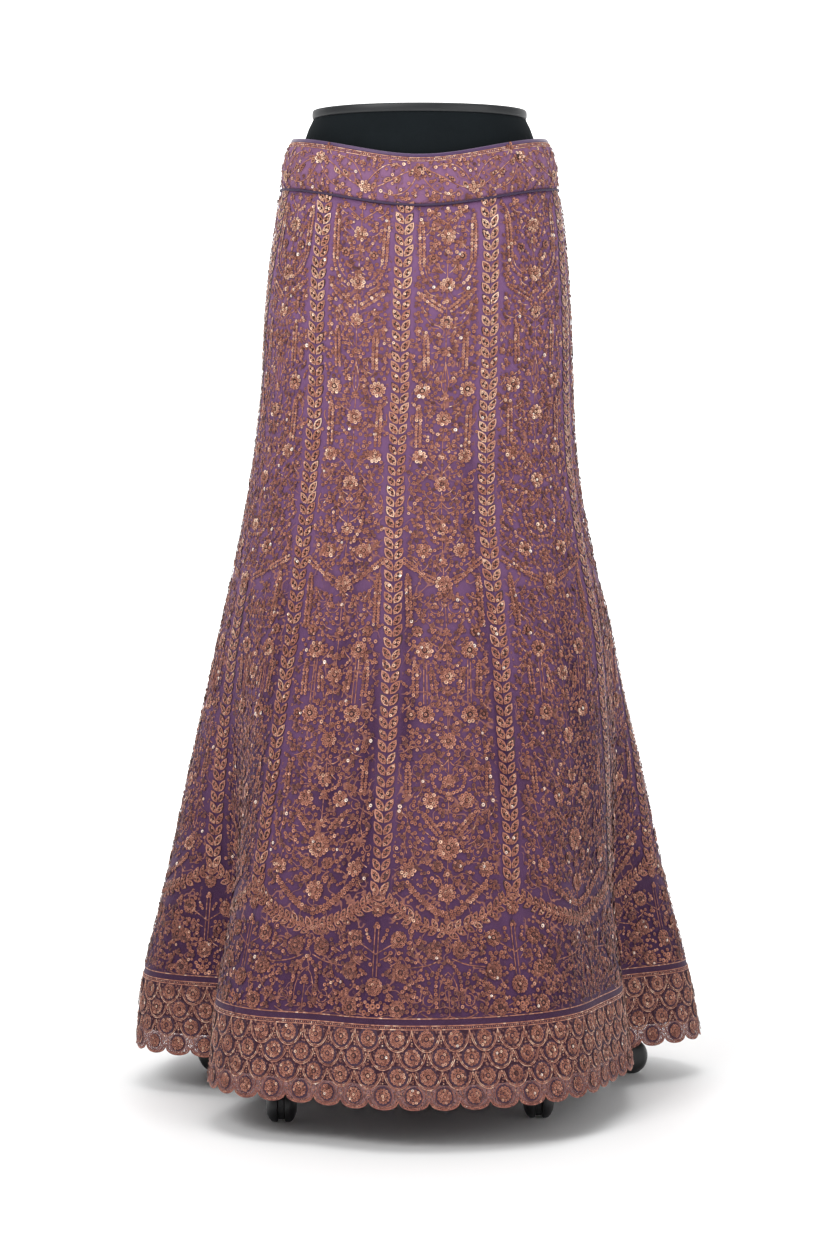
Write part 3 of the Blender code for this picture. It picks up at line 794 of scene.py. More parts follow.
class Work:
    """Needlework drawn flat on one guide, then laid on the cloth."""

    def __init__(self, guide, seed):
        self.guide = guide
        self.random = np.random.default_rng(seed)
        self.copies = {}
        self.parts = []
        self.taken = []
        self.tone = WORK_TONE

    @contextmanager
    def lighter(self, change):
        """Draws what follows in a lighter tone, or in a deeper one with a change below nought."""
        keep = self.tone
        self.tone = keep + change
        yield
        self.tone = keep

    def any_turn(self):
        return self.random.uniform(0, ANY_TURN)

    def at(self, across, height):
        """A place given for the front kali, in millimetres across, on this guide's width."""
        return across * 0.001 * float(self.guide.spread(height)), height

    def toned(self, tone, spread, height):
        """Uneven tones about one, made a little deeper towards the foot by painted shade."""
        tones = self.random.normal(tone, spread, len(height)) - SHADE_TOWARDS_FOOT * (1.0 - np.asarray(height))
        return np.clip(tones, 0.01, 0.97)

    def put(self, shape, x, height, size, turn=0.0, lift=0.0, slot=None, tone=None):
        if slot is None:
            slot = SLOT_OF[shape]
            # A few sequins take the pale finish as painted glints.
            if slot == 1 and self.random.random() < PAINTED_GLINT_SHARE:
                slot = 2
        jitter = self.random.normal(0.0, PLACE_SPREAD, 2)
        size = size * self.random.normal(1.0, SIZE_SPREAD)
        tone = self.tone if tone is None else tone
        row = (x + jitter[0], height + jitter[1], size, turn, lift, slot, tone)
        self.copies.setdefault(shape, []).append(row)
        self.taken.append((x, height, size))

    def ring(self, x, height, size=1.0, lift=0.0):
        shape = "ring" if size > 0.9 else "bead"
        self.put(shape, x, height, sizes().sequin * size, self.any_turn(), lift)

    def knot(self, x, height, size):
        self.put("knot", x, height, sizes().knot * size, self.any_turn())

    def leaf(self, x, height, size, turn):
        """A small leaf of three sequins from its foot, turned clockwise from upright."""
        for along, wide in ((0.14, 0.20), (0.56, 0.25), (0.98, 0.18)):
            at = size * along
            self.ring(x + math.sin(turn) * at, height + math.cos(turn) * at, size * wide / sizes().sequin)

    def edged_leaf(self, x, height, size, turn):
        """A leaf with a corded edge and sequins packed inside it."""
        self.put("bed", x, height, size, -turn)
        self.put("leaf", x, height, size, -turn)
        ahead = np.array([math.sin(turn), math.cos(turn)])
        side = np.array([ahead[1], -ahead[0]])
        for along, across, wide in ((0.20, 0.01, 0.115), (0.42, -0.11, 0.122), (0.54, 0.11, 0.120),
                                    (0.77, -0.01, 0.112)):
            place = ahead * (along * size) + side * (across * size)
            self.ring(x + place[0], height + place[1], wide * size / sizes().sequin, 0.0003)

    def cord(self, places, width=1.0, tone=CORD_TONE, spread=0.16):
        """A couched cord along a path of places; with more spread it looks beaded."""
        path = smooth_path(places, CORD_STEP)
        half = sizes().cord * width / 2
        ahead = np.gradient(path, axis=0)
        side = np.stack([-ahead[:, 1], ahead[:, 0]], 1)
        side /= np.maximum(np.linalg.norm(side, axis=1, keepdims=True), 1e-9)
        rows = []
        for reach, rise in ((-half, 0.0001), (0.0, half * 0.9), (half, 0.0001)):
            rows.append(np.column_stack([path + side * reach, np.full(len(path), rise)]))
        points = np.stack(rows, 1).reshape(-1, 3)
        base = np.arange(len(path) - 1)[:, None] * 3
        faces = np.concatenate([base + [0, 3, 4, 1], base + [1, 4, 5, 2]])
        tones = self.toned(tone, spread, path[1:, 1])
        edges = np.concatenate([np.tile([0.08, 0.08, 0.5, 0.5], (len(tones), 1)),
                                np.tile([0.5, 0.5, 0.92, 0.92], (len(tones), 1))])
        u = np.tile(tones, 2)[:, None] + [0.0, 0.01, 0.01, 0.0]
        uv = np.stack([u, edges], 2).reshape(-1, 2)
        self.parts.append((points, faces, uv, np.zeros(len(faces), int)))
        for place in path[::2]:
            self.taken.append((place[0], place[1], half))

    def along(self, places, spacing):
        """Places at even steps along a path, each with its heading."""
        path = smooth_path(places, 0.001)
        way = np.concatenate([[0.0], np.cumsum(np.linalg.norm(np.diff(path, axis=0), axis=1))])
        count = max(2, round(way[-1] / spacing) + 1)
        found = []
        for at in np.linspace(0.0, way[-1], count):
            here = [np.interp(at, way, path[:, axis]) for axis in (0, 1)]
            ahead = [np.interp(at + 0.002, way, path[:, axis]) - np.interp(at - 0.002, way, path[:, axis])
                     for axis in (0, 1)]
            found.append((here[0], here[1], math.atan2(ahead[0], ahead[1])))
        return found

    def row(self, places, size=0.85):
        """Sequins in a row along a path."""
        for x, height, _ in self.along(places, sizes().sequin * size * 1.85):
            self.ring(x, height, size)

    def packed(self, x, height, radius, bead):
        """A round flower packed with sequins on a dark disc of painted shade."""
        # Painted shade: a flat disc in the copper-in-shade colour under the flower.
        self.put("shade_disc", x, height, radius * 0.96, tone=0.02, lift=0.00004)
        reach = radius - bead * 0.9
        turn = self.any_turn()
        with self.lighter(FLOWER_HEART):
            while reach > bead * 0.9:
                count = round(ROUND * reach / (bead * 1.75))
                for i in range(count):
                    a = turn + i * ROUND / count
                    self.put("bead", x + math.cos(a) * reach, height + math.sin(a) * reach, bead, a, 0.0002)
                reach -= bead * 1.72
                turn += 0.4
            self.put("bead", x, height, bead, turn, 0.0006)

    def rosette(self, x, height, radius):
        """A flower with a packed heart and a ring of fuller petals."""
        with self.lighter(FLOWER_LIGHT):
            self.packed(x, height, radius - 0.0028, 0.0018)
            turn = self.any_turn()
            count = round(ROUND * (radius - 0.0018) / 0.0043)
            for i in range(count):
                a = turn + i * ROUND / count
                reach = radius - 0.0018 + self.random.uniform(-0.0003, 0.0004)
                self.ring(x + math.cos(a) * reach, height + math.sin(a) * reach, 0.90)

    def medallion(self, x, height, radius, gap=False):
        if gap:
            # A ring of painted shade, in the dark gap finish, round the medallion.
            self.put("shade_disc", x, height, radius + 0.0018, slot=3)
        self.packed(x, height, radius, 0.0017)

    def floret(self, x, height, turn=0.0, size=1.0):
        """Three ring sequins in a bunch."""
        for i in range(3):
            a = turn + (i - 1) * THIRD_TURN
            self.ring(x + math.sin(a) * 0.0021 * size, height + math.cos(a) * 0.0021 * size, size * 0.82)

    def spray(self, x, height, lean):
        """A short bent stem with sequins at its tip and to both sides."""
        ahead = np.array([math.sin(lean), math.cos(lean)])
        side = np.array([ahead[1], -ahead[0]]) * (1 if lean > 0 else -1)
        foot = np.array([x, height])
        bend = foot + ahead * 0.0050 + side * 0.0010
        tip = foot + ahead * 0.0100 - side * 0.0004
        self.cord([tuple(foot - ahead * 0.0022), tuple(bend), tuple(tip)], 0.85, tone=0.62)
        for along, across, size in ((0.0112, 0.0, 0.86), (0.0078, 0.0030, 0.78), (0.0062, -0.0026, 0.78),
                                    (0.0024, 0.0030, 0.74)):
            place = foot + ahead * along + side * across
            self.ring(place[0], place[1], size)

    def sprig(self, places):
        """A spray of sequins in pairs, from the first place to one sequin at the last."""
        size = 0.82
        for at, (x, height, heading) in enumerate(self.along(places, 0.0034)):
            far = math.dist((x, height), places[-1])
            reach = min(0.0021, 0.0006 + far * 0.16)
            if far < 0.0026:
                self.ring(x, height, size)
                continue
            for side in (-1, 1):
                self.ring(x + side * math.cos(heading) * reach, height - side * math.sin(heading) * reach,
                          size * (1.0 if at % 2 else 0.88))

    def curl(self, x, height, radius, start, turns, hand):
        """A cord that winds in on itself round a sequin, with sequins on its outside."""
        angles = start + hand * np.linspace(0.0, turns * ROUND, 14)
        reach = radius * (1.0 - 0.45 * np.linspace(0.0, 1.0, 14))
        self.cord(np.stack([x + reach * np.cos(angles), height + reach * np.sin(angles)], 1), 0.8)
        self.ring(x, height, 0.85)
        for a in start + hand * np.array([0.5, 1.5, 2.5]):
            self.ring(x + (radius + 0.0022) * math.cos(a), height + (radius + 0.0022) * math.sin(a), 0.72)

    def bud(self, x, height, size):
        """An upright bud: a tip over two side sequins, on a short stem."""
        self.cord([(x, height - size * 0.6), (x, height)], 0.7)
        self.ring(x, height + size * 0.22, 0.95)
        self.ring(x, height + size * 0.68, 0.78)
        for side in (-1, 1):
            self.ring(x + side * 0.0033, height + size * 0.05, 0.80)
            self.ring(x + side * 0.0025, height + size * 0.48, 0.66)

    def leaf_strip(self, places, size, gap):
        """Pairs of edged leaves that point back along a path."""
        for x, height, heading in self.along(places, gap):
            heading += math.pi
            for side in (-1, 1):
                lean = side * size * 0.05
                self.edged_leaf(x + lean * math.cos(heading), height - lean * math.sin(heading),
                                size, heading + side * 0.58)

    def garland(self, places, size, gap):
        """Leaves spread to both sides of a row of sequins."""
        self.row(places, 0.8)
        for x, height, heading in self.along(places, gap):
            for side in (-1, 1):
                self.edged_leaf(x, height, size, heading + math.pi + side * 0.80)

    def fill(self, low, high, margin, pitch, clear):
        """Scattered sequins and florets wherever the ground is still bare, alike on both sides."""
        taken = np.array(self.taken)

        def room(x, rise):
            return min((np.hypot(taken[:, 0] - x, taken[:, 1] - rise) - taken[:, 2]).min(), 9.0)

        for row, height in enumerate(np.arange(low, high, pitch * 0.86)):
            half = float(self.guide.half_width(height)) - margin
            for x in np.arange(pitch * 0.55 * (1 + row % 2), half, pitch):
                x = x + self.random.uniform(-0.18, 0.18) * pitch
                rise = height + self.random.uniform(-0.18, 0.18) * pitch
                away = room(x, rise)
                if away < clear or x > half:
                    continue
                kind = self.random.random()
                turn = self.any_turn()
                lean = self.random.choice((-1, 1)) * (0.5 + turn * 0.12)
                tip = (x + math.sin(lean) * 0.0110, rise + math.cos(lean) * 0.0110)
                spray = kind > 0.35 and tip[0] < half and room(*tip) > 0.0018
                for side in (-1, 1):
                    with self.lighter(-FILL_SHADE):
                        if spray:
                            self.spray(side * x, rise, side * lean)
                        elif away < clear + 0.0012 or kind < 0.12:
                            self.ring(side * x, rise, 0.89)
                        elif kind < 0.60:
                            self.floret(side * x, rise, side * turn)
                        else:
                            self.leaf(side * x, rise - 0.0035, 0.0090, side * (0.4 + turn * 0.12))
                filled = [[x, rise, 0.0030]]
                if spray:
                    filled += [[tip[0], tip[1], 0.0030], [(x + tip[0]) / 2, (rise + tip[1]) / 2, 0.0036]]
                taken = np.concatenate([taken, filled])

    def flat_arrays(self):
        """Everything drawn so far, as points, faces, map places and slots in the guide's plane."""
        found = list(self.parts)
        for shape, rows in self.copies.items():
            points, faces, places = SHAPES[shape]
            x, height, size, turn, lift, slot, tone = np.array(rows).T
            count = len(rows)
            cos, sin = np.cos(turn), np.sin(turn)
            flat = points[None] * size[:, None, None]
            tilt = self.random.normal(0.0, 0.16, (count, 2))
            tilt[size > 0.004] *= 0.1
            px = flat[..., 0] * cos[:, None] - flat[..., 1] * sin[:, None]
            py = flat[..., 0] * sin[:, None] + flat[..., 1] * cos[:, None]
            lean = px * tilt[:, :1] + py * tilt[:, 1:]
            lean = lean - lean.min(axis=1, keepdims=True)
            pz = flat[..., 2] + lift[:, None] + lean * 0.7 + 0.00006
            laid = np.stack([px + x[:, None], py + height[:, None], pz], 2)
            tones = self.toned(tone, np.where(slot == 0, 0.12, 0.17), height)
            uv = np.repeat(places[None], count, 0)
            uv[..., 0] = tones[:, None] + uv[..., 0] * 0.01
            shifted = faces[None] + (np.arange(count) * len(points))[:, None, None]
            slots = np.repeat(slot.astype(int), len(faces))
            found.append((laid.reshape(-1, 3), shifted.reshape(-1, 4), uv.reshape(-1, 2), slots))
        return found

    def laid(self):
        """The same arrays with their points in the row frame."""
        done = []
        for points, faces, uv, slots in self.flat_arrays():
            angle = self.guide.angle(points[:, 0], points[:, 1])
            done.append((cloth_at(angle, points[:, 1], points[:, 2]), faces, uv, slots))
        return done


def linked(name, data):
    made = bpy.data.objects.new(name, data)
    bpy.context.scene.collection.objects.link(made)
    return made


def plain_mesh(name, points, faces, finish_name, smooth=True):
    mesh = bpy.data.meshes.new(name)
    mesh.from_pydata(np.asarray(points).tolist(), [], faces)
    mesh.materials.append(finish_of(finish_name))
    if smooth:
        mesh.shade_smooth()
    return mesh


def new_piece(name, mesh, body, replaced=()):
    piece = linked(name, mesh)
    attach(piece, body)
    if replaced:
        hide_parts(*replaced)
    return piece


def piece_of_works(name, works):
    """One mesh from several works."""
    arrays = [part for work in works for part in work.laid()]
    offset = 0
    faces = []
    for points, quads, uv, slots in arrays:
        faces.append(quads + offset)
        offset += len(points)
    points = np.concatenate([part[0] for part in arrays])
    faces = np.concatenate(faces).astype(np.int32)
    uv = np.concatenate([part[2] for part in arrays])
    slots = np.concatenate([part[3] for part in arrays]).astype(np.int32)
    mesh = bpy.data.meshes.new(name)
    mesh.vertices.add(len(points))
    mesh.vertices.foreach_set("co", points.astype(np.float32).ravel())
    mesh.loops.add(faces.size)
    mesh.loops.foreach_set("vertex_index", faces.ravel())
    mesh.polygons.add(len(faces))
    mesh.polygons.foreach_set("loop_start", np.arange(len(faces), dtype=np.int32) * 4)
    mesh.polygons.foreach_set("material_index", slots)
    mesh.update(calc_edges=True)
    layer = mesh.uv_layers.new(name=WORK_MAP)
    layer.uv.foreach_set("vector", uv.astype(np.float32).ravel())
    for label in SLOTS:
        mesh.materials.append(finish_of(label))
    mesh.shade_smooth()
    return new_piece(name, mesh, SKIRT_BODY)


# Cloth pieces

def shell_mesh(name, angles, heights, finish_name, thickness=CLOTH_THICKNESS, lift=CLOTH_LIFT):
    """A thin closed shell on the skirt's form from grids of angles and heights, top row first."""
    outer = cloth_at(angles, heights, np.full(angles.shape, lift)).reshape(-1, 3)
    inner = cloth_at(angles, heights, np.full(angles.shape, lift - thickness)).reshape(-1, 3)
    grid = np.arange(angles.size).reshape(angles.shape)
    corners = (grid[:-1, :-1], grid[1:, :-1], grid[1:, 1:], grid[:-1, 1:])
    front = np.stack(corners, -1).reshape(-1, 4)
    back = np.stack([corners[i] for i in (0, 3, 2, 1)], -1).reshape(-1, 4) + angles.size
    edge = np.concatenate([grid[0], grid[1:, -1], grid[-1, -2::-1], grid[-2::-1, 0]])
    walls = np.stack([edge[:-1], edge[1:], edge[1:] + angles.size, edge[:-1] + angles.size], 1)
    faces = np.concatenate([front, back, walls]).tolist()
    mesh = plain_mesh(name, np.concatenate([outer, inner]), faces, finish_name)
    # Painted shade: how deep each point lies in a crease or fold.
    dent = np.clip(-crease_reach(angles, heights) / 0.0018, 0.0, 1.0) * 0.6
    dent = dent + np.clip(-fold_reach(angles, heights) / 0.070, 0.0, 1.0) * 0.8
    note(mesh, "dent", dent)
    return mesh


def note(mesh, name, values):
    """Keeps a value for each point of a shell: how deep it lies in a crease or fold, which sets the painted
    shade there, or its distance from the next strip.
    """
    layer = mesh.attributes.new(name, "FLOAT", "POINT")
    layer.data.foreach_set("value", np.tile(values.ravel(), 2).astype(np.float32))


def declare_cloth(piece, width, length):
    """Works out half of the thin shell's surface as its area and the share of width by length that it covers,
    and does nothing more with them.
    """
    area = sum(face.area for face in piece.data.polygons) / 2
    share = max(0.31, min(1.0, area / (width * length)))
    share * width * length


ZIP_LINE = LineGuide(np.full(len(GRID_HEIGHTS), math.radians(ZIP_ANGLE)))


def kali_shell(kali):
    width = KALI_TABLES[kali][1].max()
    columns = int(width / 0.0075) + 1
    heights = np.linspace(SEAM_HEIGHT, KALI_FOOT, 80)
    share, height = np.meshgrid(np.linspace(0.0, 1.0, columns), heights)
    left = seam_angle(kali - 1, heights)
    right = seam_angle(kali, heights)
    opening = ZIP_OPENING / np.interp(heights, GRID_HEIGHTS, ZIP_LINE.rates)
    opening = opening * smooth_step(ZIP_GAP_END, ZIP_END, heights)
    right = right - opening * (kali == ZIP_SEAM)
    left = left + opening * (kali == ZIP_SEAM + 1)
    angles = left[:, None] + (right - left)[:, None] * share
    mesh = shell_mesh(f"kali_{kali}_cloth", angles, height, "net")
    widths = np.interp(heights, GRID_HEIGHTS, KALI_TABLES[kali][1])[:, None]
    away = np.minimum(share, 1.0 - share) * widths
    if kali in SPLIT_KALIS:
        away = np.where(height < SPLIT_HEIGHT, np.minimum(away, np.abs(share - 0.5) * widths), away)
    note(mesh, "clear", away)
    return new_piece(mesh.name, mesh, SKIRT_BODY, [f"kali_{kali}"])


def waist_angles(height, count):
    opening = ZIP_OPENING / np.interp(height, GRID_HEIGHTS, ZIP_LINE.rates)
    return np.linspace(-math.pi + opening, math.pi - opening, count)


def make_band_cloth():
    """Waistband, its bound edge and the piping in the seam below it."""
    for name, node, top, foot, rows, shade, slot, lift in (
        ("waistband_cloth", "waistband", BAND_TOP, SEAM_HEIGHT, 12, "band", "embroidered_net", CLOTH_LIFT),
        ("binding_cloth", "waist_binding", WAIST_TOP, BAND_TOP, 4, "binding", "purple_binding", 0.0003),
    ):
        heights = np.linspace(top, foot, rows)
        angles = np.array([waist_angles(h, 181) for h in heights])
        height = np.repeat(heights[:, None], 181, 1)
        mesh = shell_mesh(name, angles, height, shade, BAND_THICKNESS, lift)
        note(mesh, "clear", np.full(height.shape, 0.05))
        piece = new_piece(name, mesh, SKIRT_BODY, [node])
        around = way_round(angles[-1], foot)[-1]
        declare_cloth(piece, around, max(top - foot, 0.011) * 1.02)
    angles = waist_angles(SEAM_HEIGHT, 241)
    centre = cloth_at(angles, np.full(241, SEAM_HEIGHT), np.full(241, 0.0008))
    outward = cloth_at(angles, np.full(241, SEAM_HEIGHT), np.full(241, 0.0018)) - centre
    outward /= np.linalg.norm(outward, axis=1, keepdims=True)
    turns = np.arange(8) * math.pi / 4
    rings = centre[:, None] + 0.0014 * (outward[:, None] * np.cos(turns)[:, None]
                                        + np.array([0, 0, 1.0]) * np.sin(turns)[:, None])
    mesh = tube_mesh("piping_roll", rings, "piping")
    new_piece("piping_roll", mesh, SKIRT_BODY, ["waist_piping"])


def tube_mesh(name, rings, finish_name):
    """A capped tube through rings of points."""
    grid = np.arange(rings.shape[0] * rings.shape[1]).reshape(rings.shape[:2])
    after = np.roll(grid, -1, 1)
    faces = np.stack([grid[:-1], after[:-1], after[1:], grid[1:]], -1).reshape(-1, 4).tolist()
    faces += [grid[0, ::-1].tolist(), grid[-1].tolist()]
    mesh = plain_mesh(name, rings.reshape(-1, 3), faces, finish_name)
    mesh.set_sharp_from_angle(angle=math.radians(50))
    return mesh


# Ornament

# Along the middle of the ground between two strips: what, height, size in millimetres
UPPER_MIDDLE = (
    ("ring", 0.991, 2.2), ("floret", 1.001, 1.0), ("rosette", 0.971, 8.2), ("bud", 0.953, 8.0),
    ("ring", 0.944, 2.2), ("rosette", 0.918, 8.6), ("bud", 0.898, 7.0), ("rosette", 0.876, 7.0),
    ("bud", 0.838, 7.0), ("bud", 0.787, 9.0), ("rosette", 0.765, 8.4), ("bud", 0.718, 8.0),
    ("ring", 0.711, 2.2), ("rosette", 0.689, 8.4), ("floret", 0.672, 1.0), ("rosette", 0.637, 6.8),
    ("bud", 0.598, 9.0), ("rosette", 0.576, 9.6),
)
LOWER_MIDDLE = (
    ("bud", 0.521, 9.0), ("bud", 0.495, 8.0), ("rosette", 0.478, 8.4), ("bud", 0.438, 8.0),
    ("rosette", 0.411, 8.4), ("ring", 0.397, 2.2), ("rosette", 0.369, 7.2), ("bud", 0.350, 9.0),
    ("bud", 0.322, 8.0), ("rosette", 0.302, 12.0), ("bud", 0.274, 8.0), ("rosette", 0.257, 9.4),
    ("ring", 0.228, 2.2), ("leaf", 0.199, 11.0),
)
# On both sides of the middle: what, millimetres across, height, size in millimetres, turn in degrees
UPPER_SIDES = (
    ("floret", 19.0, 1.000, 1.1, 30), ("leaf", 4.0, 0.986, 9.0, 55), ("leaf", 8.0, 0.983, 8.0, 110),
    ("leaf", 12.0, 0.958, 8.0, 30), ("medallion", 16.0, 0.949, 5.4, 0), ("ring", 9.7, 0.934, 2.2, 0),
    ("floret", 14.0, 0.936, 1.0, 0), ("ring", 8.0, 0.862, 2.2, 0), ("ring", 16.0, 0.857, 2.2, 0),
    ("ring", 12.0, 0.848, 2.2, 0), ("ring", 22.8, 0.885, 2.3, 0), ("ring", 5.4, 0.834, 2.3, 0),
    ("floret", 8.6, 0.809, 1.1, 0), ("rosette", 24.8, 0.798, 8.8, 0), ("leaf", 14.0, 0.812, 8.0, -40),
    ("leaf", 10.0, 0.748, 8.5, 40), ("leaf", 15.0, 0.744, 8.5, 75), ("leaf", 30.0, 0.778, 8.0, 40),
    ("rosette", 24.6, 0.721, 8.0, 0), ("leaf", 12.0, 0.702, 8.0, -35), ("ring", 18.0, 0.708, 2.2, 0),
    ("ring", 14.0, 0.646, 2.3, 0), ("leaf", 29.0, 0.640, 9.0, 20), ("leaf", 33.0, 0.634, 9.0, 60),
    ("leaf", 4.0, 0.621, 9.0, 60), ("leaf", 4.0, 0.616, 9.0, 115), ("rosette", 20.0, 0.613, 8.4, 0),
    ("ring", 37.0, 0.748, 2.2, 0), ("floret", 37.0, 0.838, 1.0, 40), ("leaf", 34.0, 0.815, 8.0, 20),
    ("ring", 38.0, 0.640, 2.2, 0), ("ring", 29.0, 0.845, 2.2, 0), ("floret", 31.0, 0.868, 1.0, 0),
)
LOWER_SIDES = (
    ("floret", 11.0, 0.552, 1.0, 0), ("medallion", 31.5, 0.525, 6.0, 0), ("leaf", 5.0, 0.515, 9.0, 60),
    ("leaf", 24.0, 0.536, 8.0, 40), ("rosette", 24.0, 0.505, 9.0, 0), ("ring", 42.0, 0.500, 2.3, 0),
    ("leaf", 10.0, 0.488, 8.0, 40), ("ring", 11.0, 0.470, 2.2, 0), ("rosette", 23.4, 0.438, 9.0, 0),
    ("medallion", 39.0, 0.438, 5.6, 0), ("leaf", 5.0, 0.427, 9.0, 65), ("leaf", 36.0, 0.418, 8.0, 60),
    ("leaf", 18.0, 0.404, 8.0, -40), ("ring", 42.0, 0.404, 2.3, 0), ("ring", 29.0, 0.385, 2.3, 0),
    ("rosette", 19.0, 0.350, 8.4, 0), ("leaf", 4.0, 0.339, 10.0, 75), ("leaf", 4.0, 0.328, 9.0, 110),
    ("leaf", 12.0, 0.310, 9.0, 65), ("leaf", 12.0, 0.299, 9.0, 95), ("medallion", 11.0, 0.284, 6.4, 0),
    ("leaf", 17.0, 0.285, 9.0, 70), ("leaf", 19.0, 0.278, 9.0, 100), ("floret", 10.4, 0.268, 1.1, 60),
    ("rosette", 41.5, 0.280, 8.2, 0), ("leaf", 41.0, 0.318, 9.0, 10), ("leaf", 45.0, 0.310, 9.0, 45),
    ("leaf", 24.0, 0.262, 8.0, 60), ("ring", 15.0, 0.248, 2.2, 0), ("leaf", 5.0, 0.205, 9.0, 60),
)
# Cords, rows of sequins and sprigs on both sides: kind, then places as millimetres across and height
UPPER_LINES = (
    ("cord", ((0.0, 0.986), (8.0, 0.992), (17.0, 0.999))),
    ("sprig", ((28.0, 0.941), (29.0, 0.992))),
    ("row", ((29.0, 0.937), (26.0, 0.928), (20.0, 0.920), (11.0, 0.914))),
    ("cord", ((25.0, 0.940), (22.0, 0.930), (15.0, 0.922))),
    ("sprig", ((4.0, 0.890), (31.0, 0.910))),
    ("cord", ((1.5, 0.866), (8.0, 0.872), (16.0, 0.875), (22.0, 0.882))),
    ("sprig", ((21.0, 0.822), (22.0, 0.865))),
    ("cord", ((21.5, 0.835), (16.0, 0.834), (12.5, 0.829), (13.5, 0.824))),
    ("cord", ((0.0, 0.828), (4.0, 0.806), (0.0, 0.790))),
    ("sprig", ((27.0, 0.733), (27.5, 0.780))),
    ("cord", ((27.0, 0.752), (32.0, 0.756), (36.0, 0.764), (35.0, 0.770))),
    ("cord", ((0.0, 0.700), (8.0, 0.712), (16.0, 0.718))),
    ("cord", ((34.0, 0.676), (36.5, 0.668), (33.0, 0.658), (24.0, 0.654))),
    ("row", ((17.0, 0.655), (15.0, 0.638), (9.0, 0.628), (0.8, 0.626))),
    ("cord", ((0.0, 0.668), (7.0, 0.661), (14.0, 0.664))),
    ("sprig", ((43.0, 0.603), (27.0, 0.590))),
    ("sprig", ((11.0, 0.580), (25.0, 0.588))),
    ("sprig", ((39.5, 0.532), (38.5, 0.586))),
)
LOWER_LINES = (
    ("sprig", ((34.0, 0.458), (34.5, 0.493))),
    ("cord", ((25.4, 0.449), (25.0, 0.495))),
    ("cord", ((21.6, 0.449), (22.0, 0.495))),
    ("sprig", ((14.0, 0.462), (17.0, 0.486))),
    ("cord", ((10.0, 0.455), (12.0, 0.462), (18.0, 0.466))),
    ("cord", ((0.0, 0.392), (6.0, 0.386), (14.0, 0.390))),
    ("sprig", ((43.0, 0.356), (43.0, 0.388))),
    ("row", ((18.0, 0.376), (15.0, 0.364), (8.0, 0.359), (1.0, 0.357))),
    ("sprig", ((10.5, 0.317), (28.0, 0.338))),
    ("cord", ((43.5, 0.297), (46.0, 0.312), (43.0, 0.327), (45.0, 0.345))),
    ("cord", ((0.0, 0.246), (5.0, 0.262), (8.0, 0.272), (14.0, 0.276))),
    ("row", ((42.0, 0.268), (30.0, 0.256), (15.0, 0.243), (1.0, 0.237))),
    ("row", ((42.0, 0.264), (30.0, 0.252), (15.0, 0.239), (1.0, 0.233))),
)
UPPER_CURLS = (
    (12.0, 0.732, 5.4), (30.0, 0.696, 8.6), (32.0, 0.618, 5.0), (34.0, 0.662, 4.4), (36.0, 0.856, 4.6),
)
LOWER_CURLS = (
    (11.0, 0.551, 8.6), (23.0, 0.542, 5.0), (9.5, 0.449, 5.0), (31.0, 0.410, 6.0), (13.0, 0.381, 4.4),
    (37.0, 0.345, 6.0), (32.0, 0.297, 5.6), (54.0, 0.302, 5.4), (9.5, 0.424, 4.6),
)
UPPER_STEMS = ((1.004, 0.880), (0.868, 0.775), (0.756, 0.700), (0.680, 0.586))
LOWER_STEMS = ((0.566, 0.488), (0.470, 0.420), (0.402, 0.377), (0.361, 0.314), (0.290, 0.266), (0.247, 0.222))
UPPER = (UPPER_MIDDLE, UPPER_SIDES, UPPER_LINES, UPPER_CURLS, UPPER_STEMS)
LOWER = (LOWER_MIDDLE, LOWER_SIDES, LOWER_LINES, LOWER_CURLS, LOWER_STEMS)


def draw_one(work, kind, x, height, size, turn=0.0):
    """One motif of a list; a floret's size is a factor, any other's is in millimetres."""
    if kind == "ring":
        work.ring(x, height, size * 0.001 / sizes().sequin)
    elif kind == "floret":
        work.floret(x, height, turn, size)
    elif kind == "leaf":
        work.leaf(x, height, size * 0.001, turn)
    else:
        getattr(work, kind)(x, height, size * 0.001)


def inside(work, x, height, margin):
    """Whether a place lies clear of the leaf strips."""
    return abs(x) + margin < work.guide.half_width(height) - 0.008


def draw_column(work, middle, beside, lines, curls, stems):
    """One ground's ornament, the same on the left and the right of its middle."""
    for top, foot in stems:
        work.cord([(0.0, top), (0.0, foot)], 0.8)
    for kind, height, size in middle:
        draw_one(work, kind, 0.0, height, size)
    for side in (-1, 1):
        for kind, across, height, size, turn in beside:
            x, height = work.at(side * across, height)
            if inside(work, x, height, 0.002):
                draw_one(work, kind, x, height, size, side * math.radians(turn))
        for kind, places in lines:
            getattr(work, kind)([work.at(side * across, height) for across, height in places])
        for across, height, radius in curls:
            x, height = work.at(side * across, height)
            if inside(work, x, height, 0.003):
                start = math.pi / 2 + side * 0.9
                work.curl(x, height, radius * 0.001, start, 0.8, side)


